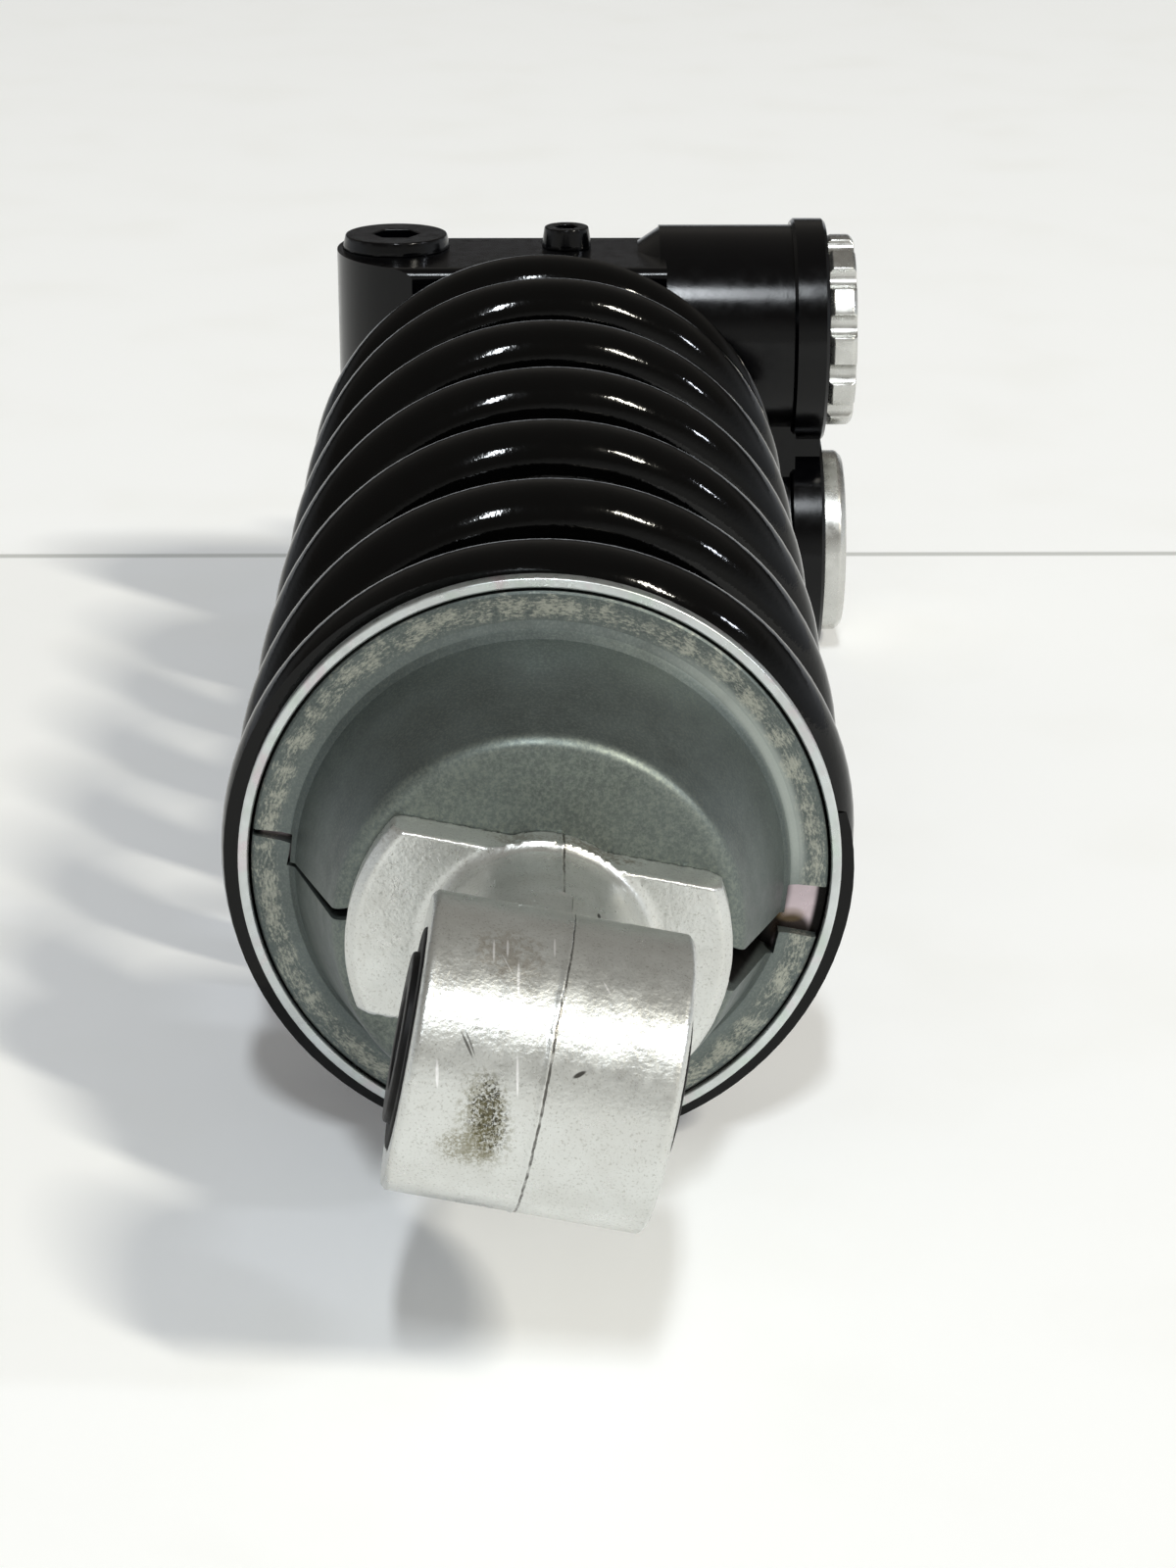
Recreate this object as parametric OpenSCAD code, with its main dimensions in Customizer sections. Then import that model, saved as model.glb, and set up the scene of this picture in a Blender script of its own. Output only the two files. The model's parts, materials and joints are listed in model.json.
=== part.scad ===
// Coil-over rear damper unit, lying on its side along Y with the lower eye towards -Y.
// The origin is the centre of the lower eye's bore. All lengths are in millimetres.

/* [Lower mount] */
// Outer diameter of the lower eye
eye_d = 35.1; // [32:0.1:38]
// Width of the lower eye along its bore
eye_w = 30.6; // [26:0.1:36]
// Radius of the neck between the eye and the flange
neck_r = 13.8; // [12:0.1:15]
// Distance from the eye's centre to the front face of the flange
flange_reach = 32.2; // [30:0.1:40]
// Thickness of the flange that carries the split collar
flange_t = 6; // [4:0.1:10]
// Outer diameter of the flange
flange_d = 48.4; // [44:0.1:52]
// Distance between the two flats of the flange
flange_flats = 24.9; // [22:0.1:30]
// Radius of the fillet between the neck and the flange
neck_fillet = 2; // [1:0.1:3]
// Twist of the lower mount about the damper's axis, in degrees
mount_roll = 11.3; // [0:0.1:15]
// Edge break on cast and turned edges
edge_break = 0.6; // [0.3:0.1:1]

/* [Lower bearing] */
// Diameter of the fixing bolt that the lower sleeve takes
lower_bolt_d = 12; // [10:0.5:14]
// Outer diameter of the lower sleeve, which the needles run on
sleeve_d = 20; // [18:0.5:22]
// Diameter of one needle roller
needle_d = 2; // [1.5:0.1:2.5]
// Number of needle rollers
needle_count = 28; // [20:1:28]
// Wall of the drawn bearing cup
bearing_wall = 1; // [0.6:0.1:1.5]
// Width of the needle bearing
bearing_w = 20; // [16:0.5:22]
// How far each dust seal stands out of the eye
seal_proud = 0.3; // [0.2:0.1:2]
// How far the lower sleeve stands out of each dust seal
sleeve_proud = 0.8; // [0.2:0.1:2]

/* [Split collar] */
// Height of the collar from its crown to its lip
collar_h = 22.3; // [18:0.1:26]
// Radius at the crown's shoulder
crown_r = 26.4; // [25:0.1:28]
// Radius at the foot of the cone
cone_r = 32.6; // [31:0.1:34]
// Wall of the cast collar
collar_wall = 4; // [3:0.1:5]
// Thickness of the collar's lip
lip_t = 1.9; // [1.5:0.1:3]
// Radius that rounds the crown's shoulder
crown_round = 2.4; // [1:0.1:3]
// Twist of the upper half about the damper's axis, in degrees
upper_half_roll = 6.4; // [0:0.1:12]
// Height of the upper half's lip ends above its own middle plane
upper_lip_cut = 1.3; // [0.8:0.1:2]
// Drop of the lower half's lip ends below its own middle plane
lower_lip_cut = 2.8; // [2.4:0.1:4]
// How far the cone's ends reach past the upper half's middle plane
cone_reach = 2.6; // [1.5:0.1:3]
// Height of the upper half's crown ends above its own middle plane
upper_crown_cut = 0.9; // [0.5:0.1:2]
// Drop of the lower half's cone ends at the foot, below its own middle plane
lower_foot_cut = 6; // [5:0.1:7]
// Drop of the lower half's crown ends below its own middle plane
lower_crown_cut = 2.9; // [2.4:0.1:4]
// Radius that joins the cone to the lip
lip_fillet = 1.6; // [1:0.1:2.5]

/* [Seat cup] */
// Outer diameter of the pressed cup
cup_d = 79.7; // [77:0.1:82]
// Sheet thickness of the pressed cup
cup_t = 1.4; // [1:0.1:2]
// Length of the cup's spigot inside the spring
cup_spigot = 6; // [4:0.1:8]
// Radius of the bend between the cup's back and its spigot
cup_bend = 2; // [1:0.1:2.5]

/* [Spring] */
// Outer diameter of the spring
spring_d = 85; // [83:0.1:88]
// Wire diameter
wire_d = 12.5; // [11:0.1:13]
// Length of the fitted spring
spring_len = 185.2; // [170:0.1:200]
// Turns from tip to tip
spring_turns = 7.09; // [6.5:0.01:8]
// Turns that lie flat at the lower end
closed_low = 0.905; // [0.8:0.005:1]
// Turns that lie flat at the upper end
closed_high = 0.887; // [0.8:0.005:1]
// Share of a turn over which a flat end bends into the pitch
ramp = 0.15; // [0.1:0.01:0.2]
// Share of a turn over which each ground tip thins
tip_turn = 0.03; // [0.02:0.005:0.05]
// Angle of the lower tip from +X towards +Z, in degrees
tip_angle = 9; // [0:1:20]

/* [Rod and piston] */
// Diameter of the piston rod
rod_d = 16; // [14:0.5:18]
// Working stroke of the damper
stroke = 60; // [50:1:62]
// Free gap left between the bump stop and the tube at full stroke
stop_gap = 0.5; // [0.3:0.1:2]
// Length of the bump stop
bump_len = 30.2; // [25:0.1:34]
// Outer diameter of the bump stop
bump_d = 40; // [34:0.5:42]
// Thickness of the washer behind the bump stop
bump_washer_t = 2; // [1:0.1:3]
// Length of the piston
piston_len = 13; // [10:0.5:16]
// Diameter of the stem that carries the piston
stem_d = 10; // [8:0.5:11]
// Thickness of each shim stack
shim_t = 1.5; // [1:0.1:3]
// Thickness of the plate in front of the piston
plate_t = 2.5; // [1.5:0.1:4]
// Width of the piston's wear band
band_w = 7; // [5:0.5:9]
// Thickness of the piston's wear band
band_t = 1.55; // [1:0.05:2]
// Diameter of each oil port in the piston
port_d = 4; // [3:0.1:5]
// Number of oil ports in the piston
port_count = 8; // [6:1:10]
// Height of the piston nut
nut_t = 7; // [5:0.5:9]

/* [Damper tube] */
// Bore of the damper tube
tube_bore = 40; // [38:0.5:41]
// Outer diameter of the damper tube
tube_d = 46; // [45:0.5:47]
// Length of the seal head inside the tube
seal_head_len = 20; // [18:0.5:24]
// Thickness of the retaining ring
circlip_t = 1.5; // [1:0.1:2]
// Length of the top-out ring
top_out_t = 3.5; // [2:0.1:5]
// Radial depth of the seal head's grooves
groove_depth = 4; // [3:0.1:5]
// Length of the wiper's recess
wiper_len = 4.5; // [3.5:0.1:6]
// Length of the rod seal's groove
rod_seal_len = 4; // [3:0.1:5]
// Wall between the wiper's recess and the rod seal's groove
groove_wall = 1.5; // [1:0.1:2.5]
// Length of the rod bush
rod_bush_len = 8; // [6:0.5:9]
// Wall of the rod bush
rod_bush_t = 1.5; // [1:0.1:2]
// Length of the tube's thread in front of the fitted upper seat
thread_len = 34; // [24:1:40]
// Depth of the tube's socket in the head, past the boss
socket_depth = 3.2; // [2:0.1:4]

/* [Preload rings] */
// Major diameter of the tube's thread
thread_d = 49; // [48:0.5:51]
// Thickness of the upper spring seat
seat_t = 4; // [3:0.1:6]
// Outer diameter of the upper spring seat
seat_d = 82; // [78:0.5:84]
// Length of the seat's spigot inside the spring
seat_spigot = 8; // [5:0.5:9]
// Thickness of the slip washer
slip_t = 1; // [0.8:0.1:2]
// Thickness of the preload ring
ring_t = 5.6; // [4:0.1:8]
// Outer diameter of the preload ring
ring_d = 68; // [64:0.5:74]
// Thickness of the lock ring
lock_t = 4.6; // [4:0.1:6]
// Outer diameter of the lock ring
lock_d = 66; // [62:0.5:72]
// Number of spanner slots round each ring
slot_count = 8; // [6:1:12]

/* [Head] */
// Distance from the damper's axis to the left face
head_left = 39.5; // [38:0.1:46]
// Distance from the damper's axis to the right end of the barrels
head_right = 53; // [50:0.1:60]
// Distance from the damper's axis down to the flat base
head_down = 42.5; // [42.5:0.1:44]
// Distance from the damper's axis up to the block's top
head_up = 35.5; // [34.5:0.1:37]
// Depth of the block's flat top, along the damper
top_depth = 31; // [28:0.5:34]
// Drop of the slope behind the block's flat top
top_slope = 6; // [3:0.5:8]
// Radius of the two cross barrels
barrel_r = 20; // [19.5:0.1:20]
// Height of the upper barrel's axis
barrel_up = 19.3; // [18.5:0.1:20]
// Drop of the lower barrel's axis
barrel_down = 22.5; // [22.5:0.1:23]
// How far right the full block reaches
block_right = 22.5; // [20:0.1:26]
// Length of each barrel's end rim
rim_w = 6.5; // [4:0.1:9]
// How far each rim stands out of its barrel
rim_proud = 1.2; // [0.5:0.1:1.5]
// Length of the boss that takes the damper tube
boss_len = 4; // [3:0.1:8]
// Outer diameter of the boss that takes the damper tube
boss_d = 60; // [56:0.5:64]
// Radius of the block's long edges
block_round = 2; // [1:0.1:4]
// Wall of the block past the barrels, along the damper
barrel_cover = 1; // [0.5:0.1:3]
// Width of the web between the barrels
web_w = 24; // [18:0.5:30]
// Width of the web between the barrels' rims
rim_web_w = 18; // [12:0.5:24]
// Diameter of the oil passages to the barrels
passage_d = 8; // [6:0.5:10]

/* [Reservoir] */
// Bore of the gas reservoir
reservoir_bore = 32; // [30:0.5:33]
// Length of the floating piston
float_len = 10; // [8:0.5:12]
// Place of the floating piston's oil side at rest, right of the damper's axis
float_x = 8; // [6:0.5:9]
// Diameter of the smooth end cap
cap_d = 35; // [34:0.5:37]
// How far the smooth end cap stands out
cap_proud = 4.4; // [3:0.1:6]
// Depth of the end cap in its bore
cap_depth = 11; // [8:0.5:14]
// Diameter of the end cap's recess
cap_recess_d = 13; // [10:0.5:16]
// Diameter of the gas valve's stem
valve_d = 6; // [5:0.5:7]
// How far the reservoir bore reaches left of the damper's axis
reservoir_left = 26; // [22:0.5:28]

/* [Adjuster] */
// Diameter of the compression knob
knob_d = 36.4; // [34:0.1:38]
// How far the compression knob stands out
knob_proud = 5.4; // [4:0.1:7]
// Number of grip notches round the knob
knob_notches = 12; // [8:1:16]
// Diameter of the valve cartridge
cartridge_d = 28; // [26:0.5:30]
// Depth of the dish in the compression knob's face
knob_dish = 1.2; // [0.6:0.1:2]
// Width of the rim round the compression knob's dish
knob_rim = 5; // [3:0.1:7]
// Diameter of each grip notch
notch_d = 4.4; // [3:0.1:6]
// Diameter of the hub that the compression knob turns on
hub_d = 12; // [10:0.5:14]
// Diameter of the high-speed screw
screw_d = 8; // [6:0.5:9]
// How far the valve bore reaches left of the damper's axis
valve_left = 10; // [6:0.5:14]

/* [Plugs] */
// Diameter of the filler plug
plug_d = 20.4; // [18:0.1:21]
// Distance of the filler plug left of the damper's axis
plug_left = 28.3; // [24:0.1:28.5]
// Height of the filler plug's head
plug_proud = 2.6; // [1:0.1:3.5]
// Depth of the filler plug's thread
plug_depth = 9; // [7:0.5:10]
// Width of the filler plug's socket across its corners
plug_socket = 9.2; // [7:0.1:10]
// Diameter of the bleed screw's head
bleed_d = 9.5; // [7:0.1:11]
// Distance of the bleed screw right of the damper's axis
bleed_right = 4; // [2:0.5:8]
// Height of the bleed screw's head
bleed_proud = 3.9; // [2:0.1:5]
// Width of the bleed screw's socket across its corners
bleed_socket = 4.6; // [3:0.1:5]

/* [Upper mount] */
// Distance from the block's front face to the upper eye's centre
upper_reach = 53; // [53:0.5:60]
// Outer diameter of the upper eye
upper_eye_d = 31; // [30:0.5:34]
// Width of the upper eye
upper_eye_w = 26; // [22:0.5:30]
// Diameter of the fixing bolt that the upper sleeve takes
upper_bolt_d = 12; // [10:0.5:12.5]
// Outer diameter of the bonded bush
bush_d = 24; // [23:0.5:25]
// Wall of the bush's outer shell
bush_shell = 1; // [0.8:0.1:1.2]
// Wall of the bush's steel sleeve
bush_sleeve = 2.2; // [1.8:0.1:2.6]

/* [Fits] */
// Radial clearance of a running fit
run = 0.05; // [0.03:0.01:0.09]
// Clearance of loose pieces
loose = 0.4; // [0.3:0.05:0.6]
// Clearance round a fixing bolt, on the diameter
bolt_play = 0.2; // [0.1:0.05:0.4]
// Gap left between faces that only press together
face_gap = 0.02; // [0.01:0.01:0.04]

/* [Hidden] */
$fn = 96;

// Stations along the damper's axis, from the lower eye up to the head
crown_y = flange_reach + flange_t;
lip_y = crown_y + collar_h;
floor_y = lip_y + lip_t;
spring_y0 = floor_y + cup_t;
spring_y1 = spring_y0 + spring_len;
slip_y = spring_y1 + seat_t;
ring_y = slip_y + slip_t;
lock_y = ring_y + ring_t;
boss_y = lock_y + lock_t + 2 * loose;
head_y = boss_y + boss_len;
barrel_y = head_y + barrel_r + barrel_cover;
block_depth = 2 * barrel_r + barrel_cover;
upper_eye_y = head_y + upper_reach;
bump_y = crown_y + collar_wall + bump_washer_t;
tube_y0 = bump_y + bump_len + stroke + stop_gap;
tube_y1 = head_y + socket_depth;
seal_y = tube_y0 + 2 * circlip_t;
top_out_y = seal_y + seal_head_len + loose + 2 * run;
plate_y = top_out_y + top_out_t;
rebound_y = plate_y + plate_t;
piston_y = rebound_y + shim_t;
compression_y = piston_y + piston_len;
nut_y = compression_y + shim_t;
band_y = piston_y + piston_len / 2;
wiper_end = seal_y + wiper_len;
groove_y = wiper_end + groove_wall;
seal_head_end = seal_y + seal_head_len;
bush_start = seal_head_end - rod_bush_len;
rim_x = head_right - rim_w;
knob_x = head_right + loose / 2;

// Radii that follow from the fits
eye_r = eye_d / 2;
sleeve_r = sleeve_d / 2;
needle_track = sleeve_r + run / 2 + needle_d / 2;
bearing_in = sleeve_r + run + needle_d;
bearing_out = bearing_in + bearing_wall;
rod_r = rod_d / 2;
rod_thread_r = rod_r - 1;
collar_hole = rod_r + 1.5 * loose;
cup_out = cup_d / 2;
cup_in = cup_out - cup_t;
lip_r = cup_in - loose;
coil_r = spring_d / 2 - wire_d / 2;
coil_in = spring_d / 2 - wire_d;
spigot_r = coil_in - loose;
tube_in = tube_bore / 2;
tube_out = tube_d / 2;
thread_r = thread_d / 2;
ring_in = thread_r + run;
stem_r = stem_d / 2;
reservoir_r = reservoir_bore / 2;
cartridge_r = cartridge_d / 2;
bush_r = bush_d / 2;
upper_bore_r = (upper_bolt_d + bolt_play) / 2;
upper_sleeve_r = upper_bore_r + bush_sleeve;
seal_face = eye_w / 2 + seal_proud;
groove_r = rod_r + groove_depth;
band_r = tube_in - run - band_t;
rim_r = barrel_r + rim_proud;
hub_r = hub_d / 2;
screw_r = screw_d / 2;
valve_r = valve_d / 2;
knob_r = knob_d / 2;
plug_r = plug_d / 2;
bleed_r = bleed_d / 2;
thread_core = 0.7 * plug_r;
bleed_core = 0.68 * bleed_r;
seat_bore = thread_r + loose;

// The spring is drawn as rings of points along its wire
wire_sides = 12;
rings_per_turn = 30;
flat_low = closed_low;
flat_high = spring_turns - closed_high;
coil_pitch = (spring_len - wire_d) / (flat_high - flat_low);
ring_total = ceil(spring_turns * rings_per_turn);

// Solids placed straight along one axis

module rod_along_y(r, y0, y1) {
    translate([0, y0, 0]) rotate([-90, 0, 0]) cylinder(r = r, h = y1 - y0);
}

module tube_along_y(r_out, r_in, y0, y1) {
    difference() {
        rod_along_y(r_out, y0, y1);
        rod_along_y(r_in, y0 - 1, y1 + 1);
    }
}

module rod_along_x(r, x0, x1, y = 0, z = 0) {
    translate([x0, y, z]) rotate([0, 90, 0]) cylinder(r = r, h = x1 - x0);
}

module tube_along_x(r_out, r_in, x0, x1, y = 0, z = 0) {
    difference() {
        rod_along_x(r_out, x0, x1, y, z);
        rod_along_x(r_in, x0 - 1, x1 + 1, y, z);
    }
}

// A profile of [radius, station] points turned about the damper's axis
module turned_along_y(points) {
    rotate([-90, 0, 0]) rotate_extrude() polygon(points);
}

// A profile of [radius, station] points turned about a cross axis
module turned_along_x(points, y = 0, z = 0) {
    translate([0, y, z]) rotate([0, 90, 0]) rotate_extrude() polygon(points);
}

// An outline in X and Z carried along the damper's axis
module plan_along_y(y0, y1) {
    translate([0, y1, 0]) rotate([90, 0, 0]) linear_extrude(y1 - y0) children();
}

// Points of an arc about a centre, for rounding a profile
function arc(cx, cy, r, a0, a1, steps = 6) =
    [for (i = [0:steps]) let(a = a0 + (a1 - a0) * i / steps) [cx + r * cos(a), cy + r * sin(a)]];

// A turned disc with broken edges
function broken_disc(r_in, r_out, y0, y1, c) = [
    [r_in, y0], [r_out - c, y0], [r_out, y0 + c], [r_out, y1 - c], [r_out - c, y1], [r_in, y1]
];

module in_mount_frame() {
    rotate([0, mount_roll, 0]) children();
}

// Lower mount: one casting with the eye, the neck and the two-flat flange

module lower_mount() color("silver") in_mount_frame() {
    fillet_top = flange_reach - neck_fillet;
    difference() {
        union() {
            turned_along_x(broken_disc(0, eye_r, -eye_w / 2, eye_w / 2, edge_break));
            rod_along_y(neck_r, 0, crown_y);
            turned_along_y(concat(
                [[0, fillet_top]],
                arc(neck_r + neck_fillet, fillet_top, neck_fillet, 180, 90),
                [[0, flange_reach]]
            ));
            intersection() {
                turned_along_y(broken_disc(0, flange_d / 2, flange_reach, crown_y, 2 * edge_break));
                plan_along_y(flange_reach - 1, crown_y + 1)
                    square([flange_d + 2, flange_flats], center = true);
            }
        }
        rod_along_x(bearing_out, -eye_w / 2 - 1, eye_w / 2 + 1);
        rod_along_y(rod_thread_r + run, eye_r + edge_break, crown_y + 1);
    }
}

module bearing_cup() color("lightsteelblue") in_mount_frame() {
    half = bearing_w / 2;
    lip = half - bearing_wall;
    lip_in = sleeve_r + 2 * loose;
    turned_along_x([
        [lip_in, -half], [bearing_out, -half], [bearing_out, half], [lip_in, half],
        [lip_in, lip], [bearing_in, lip], [bearing_in, -lip], [lip_in, -lip]
    ]);
}

module bearing_needles() color("gainsboro") in_mount_frame() {
    half = bearing_w / 2 - bearing_wall - loose / 2;
    for (i = [0:needle_count - 1]) {
        rotate([i * 360 / needle_count, 0, 0])
            rod_along_x(needle_d / 2 - run / 4, -half, half, 0, needle_track, $fn = 24);
    }
}

module lower_sleeve() color("gainsboro") in_mount_frame() {
    reach = seal_face + sleeve_proud;
    tube_along_x(sleeve_r, (lower_bolt_d + bolt_play) / 2, -reach, reach);
}

module dust_seal(side) color([0.06, 0.06, 0.06]) in_mount_frame() mirror([side, 0, 0]) {
    inner = bearing_w / 2 + loose / 2;
    turned_along_x([
        [sleeve_r + run, inner], [bearing_out, inner], [bearing_out, seal_face - seal_proud],
        [bearing_out - seal_proud, seal_face], [sleeve_r + run, seal_face]
    ]);
}

module dust_seal_left() dust_seal(1);

module dust_seal_right() dust_seal(0);

// Split collar: two cast halves round the rod, held between the flange and the cup

module collar_ring() {
    slope = atan((cone_r - crown_r) / collar_h);
    inner_crown = crown_y + collar_wall;
    back_y = floor_y - face_gap;
    turned_along_y(concat(
        [[collar_hole, inner_crown], [collar_hole, crown_y]],
        arc(crown_r - crown_round, crown_y + crown_round, crown_round, -90, -slope),
        [[cone_r - lip_fillet * tan(slope), lip_y - lip_fillet]],
        [[cone_r + 0.3 * lip_fillet, lip_y - 0.25 * lip_fillet], [cone_r + lip_fillet, lip_y]],
        [[lip_r - edge_break / 2, lip_y], [lip_r, lip_y + edge_break / 2], [lip_r, back_y]],
        [[cone_r - collar_wall, back_y], [crown_r - collar_wall, inner_crown]]
    ));
}

// Plan of one half: its lip ends at lip_cut and its cone ends along a shallow V
module half_plan(lip_cut, foot_cut, crown_cut) {
    far = cup_d;
    foot = cone_r + loose / 2;
    shoulder = crown_r - crown_round;
    polygon([
        [-far, far], [-far, lip_cut], [-foot, lip_cut], [-foot, foot_cut], [-shoulder, crown_cut],
        [shoulder, crown_cut], [foot, foot_cut], [foot, lip_cut], [far, lip_cut], [far, far]
    ]);
}

module collar_upper_half() color("dimgray") rotate([0, upper_half_roll, 0]) intersection() {
    collar_ring();
    plan_along_y(crown_y - 1, floor_y + 1) half_plan(upper_lip_cut, -cone_reach, upper_crown_cut);
}

module collar_lower_half() color("dimgray") in_mount_frame() intersection() {
    collar_ring();
    plan_along_y(crown_y - 1, floor_y + 1)
        mirror([0, 1]) half_plan(lower_lip_cut, lower_foot_cut, lower_crown_cut);
}

// Pressed cup that joins the collar to the spring and centres the spring's end

module seat_cup() color("lightgray") {
    back = floor_y + cup_t;
    turned_along_y(concat(
        [[cup_in, lip_y], [cup_out, lip_y]],
        arc(cup_out - cup_t, back - cup_t, cup_t, 0, 90),
        arc(spigot_r + cup_bend, back + cup_bend, cup_bend, 270, 180),
        [[spigot_r, back + cup_spigot], [spigot_r - cup_t, back + cup_spigot]],
        arc(spigot_r + cup_bend, back + cup_bend, cup_bend + cup_t, 180, 270),
        [[cup_in, floor_y]]
    ));
}

// Spring: a right-hand coil with flat closed ends, swept ring by ring

function soft_ramp(u) = u <= -ramp ? 0 : u >= ramp ? u : (u + ramp) * (u + ramp) / (4 * ramp);
function wire_y(t) =
    spring_y0 + wire_d / 2 + coil_pitch * (soft_ramp(t - flat_low) - soft_ramp(t - flat_high));
function tip_taper(t) = let(d = min(t, spring_turns - t)) d < tip_turn ? 0.72 + 0.28 * d / tip_turn : 1;
function wire_point(t, k) =
    let(a = tip_angle - 360 * t, b = 360 * k / wire_sides, r = wire_d / 2 * tip_taper(t))
    [(coil_r + r * cos(b)) * cos(a), wire_y(t) + r * sin(b), (coil_r + r * cos(b)) * sin(a)];

module spring() color([0.08, 0.08, 0.09]) {
    points = [
        for (i = [0:ring_total]) for (k = [0:wire_sides - 1])
            wire_point(spring_turns * i / ring_total, k)
    ];
    sides = [
        for (i = [0:ring_total - 1]) for (k = [0:wire_sides - 1])
            let(a = i * wire_sides + k, b = i * wire_sides + (k + 1) % wire_sides)
            [a, a + wire_sides, b + wire_sides, b]
    ];
    first = [for (k = [0:wire_sides - 1]) k];
    last = [for (k = [wire_sides - 1:-1:0]) ring_total * wire_sides + k];
    polyhedron(points = points, faces = concat([first, last], sides), convexity = 12);
}

// Rod and what it carries

module piston_rod() color("whitesmoke") {
    start = eye_r + edge_break + loose;
    turned_along_y([
        [0, start], [rod_thread_r - 0.5, start], [rod_thread_r, start + 0.5], [rod_thread_r, crown_y],
        [rod_r, crown_y], [rod_r, plate_y], [stem_r, plate_y], [stem_r, nut_y + nut_t + 1],
        [stem_r - 1, nut_y + nut_t + 2], [0, nut_y + nut_t + 2]
    ]);
}

module bump_washer() color("silver")
    tube_along_y(bump_d / 2 - 2, rod_r + run, crown_y + collar_wall, bump_y);

module bump_stop() color("goldenrod") {
    third = bump_len / 3;
    r = bump_d / 2;
    waist = r - 3;
    hole = rod_r + loose;
    turned_along_y(concat(
        [[hole, bump_y]],
        arc(r - 2, bump_y + 2, 2, -90, 0),
        arc(r, bump_y + third, r - waist, 250, 110),
        arc(r - 1, bump_y + 2 * third, r - waist, 250, 110),
        arc(r - 5, bump_y + bump_len - 3, 3, 0, 90),
        [[hole, bump_y + bump_len]]
    ));
}

module top_out_ring() color("saddlebrown")
    tube_along_y(tube_in - 6, rod_r + run, top_out_y, plate_y);

module rebound_shims() color("lightsteelblue") {
    tube_along_y(tube_in - 7, stem_r + run, plate_y, rebound_y);
    tube_along_y(tube_in - 4, stem_r + run, rebound_y, piston_y);
}

module piston() color("tan") {
    port_ring = (tube_in + stem_r) / 2;
    out = tube_in - loose;
    half = band_w / 2;
    difference() {
        turned_along_y([
            [stem_r + run, piston_y], [out - edge_break, piston_y], [out, piston_y + edge_break],
            [out, band_y - half], [band_r, band_y - half], [band_r, band_y + half], [out, band_y + half],
            [out, compression_y - edge_break], [out - edge_break, compression_y],
            [stem_r + run, compression_y]
        ]);
        for (i = [0:port_count - 1]) {
            rotate([0, i * 360 / port_count, 0]) translate([port_ring, 0, 0])
                rod_along_y(port_d / 2, piston_y - 1, compression_y + 1);
        }
    }
}

module piston_band() color("darkslategray")
    tube_along_y(tube_in - run, band_r, band_y - band_w / 2, band_y + band_w / 2);

module compression_shims() color("lightsteelblue")
    tube_along_y(tube_in - 5, stem_r + run, compression_y, nut_y);

module piston_nut() color("silver") difference() {
    rotate([-90, 0, 0]) translate([0, 0, nut_y]) cylinder(r = stem_r + 4.6, h = nut_t, $fn = 6);
    rod_along_y(stem_r + run, nut_y - 1, nut_y + nut_t + 1);
}

// Damper tube and its seal head

module damper_tube() color([0.16, 0.16, 0.17]) {
    thread_start = spring_y1 - thread_len;
    thread_end = boss_y - loose;
    clip_y = tube_y0 + circlip_t;
    difference() {
        turned_along_y([
            [tube_in, tube_y0], [tube_out - 1, tube_y0], [tube_out, tube_y0 + 1],
            [tube_out, thread_start - 1.5], [thread_r, thread_start], [thread_r, thread_end],
            [tube_out, thread_end + 0.2], [tube_out, tube_y1], [tube_in, tube_y1]
        ]);
        rod_along_y(tube_in + 1, clip_y, clip_y + circlip_t);
    }
}

module seal_circlip() color("gray") difference() {
    tube_along_y(tube_in + 1 - run, tube_in - 2.5, tube_y0 + circlip_t, tube_y0 + 2 * circlip_t);
    translate([-3, tube_y0, 0]) cube([6, 4 * circlip_t, tube_bore]);
}

module seal_head() color("silver") difference() {
    turned_along_y(broken_disc(rod_r + 2 * loose, tube_in - run, seal_y, seal_head_end, edge_break));
    rod_along_y(groove_r, seal_y - 1, wiper_end);
    rod_along_y(groove_r, groove_y, groove_y + rod_seal_len);
    rod_along_y(rod_r + rod_bush_t, bush_start, seal_head_end + 1);
}

module rod_wiper() color([0.1, 0.1, 0.1]) {
    lip_top = seal_y - 0.2 * groove_depth;
    lip_root = rod_r + 0.55 * groove_depth;
    turned_along_y([
        [rod_r + run, lip_top], [rod_r + 0.3 * groove_depth, lip_top], [lip_root, seal_y],
        [groove_r - run, seal_y], [groove_r - run, wiper_end - 2 * run], [rod_r + run, wiper_end - 2 * run]
    ]);
}

module rod_seal() color([0.1, 0.1, 0.1])
    tube_along_y(groove_r - run, rod_r + run, groove_y + 2 * run, groove_y + rod_seal_len - 2 * run);

module rod_bush() color("darkgoldenrod")
    tube_along_y(rod_r + rod_bush_t - run / 2, rod_r + run, bush_start + 2 * run, seal_head_end - 2 * run);

// Spring preload: a seat, a slip washer, a threaded ring and its lock ring

module upper_seat() color([0.12, 0.12, 0.13]) {
    start = spring_y1 - seat_spigot;
    lead = (spigot_r - seat_bore) / 4;
    turned_along_y([
        [seat_bore, start], [spigot_r - lead, start], [spigot_r, start + lead], [spigot_r, spring_y1],
        [seat_d / 2, spring_y1], [seat_d / 2, slip_y - edge_break], [seat_d / 2 - edge_break, slip_y],
        [seat_bore, slip_y]
    ]);
}

module slip_washer() color("ivory")
    tube_along_y(ring_d / 2 - edge_break, seat_bore, slip_y, ring_y);

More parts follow.
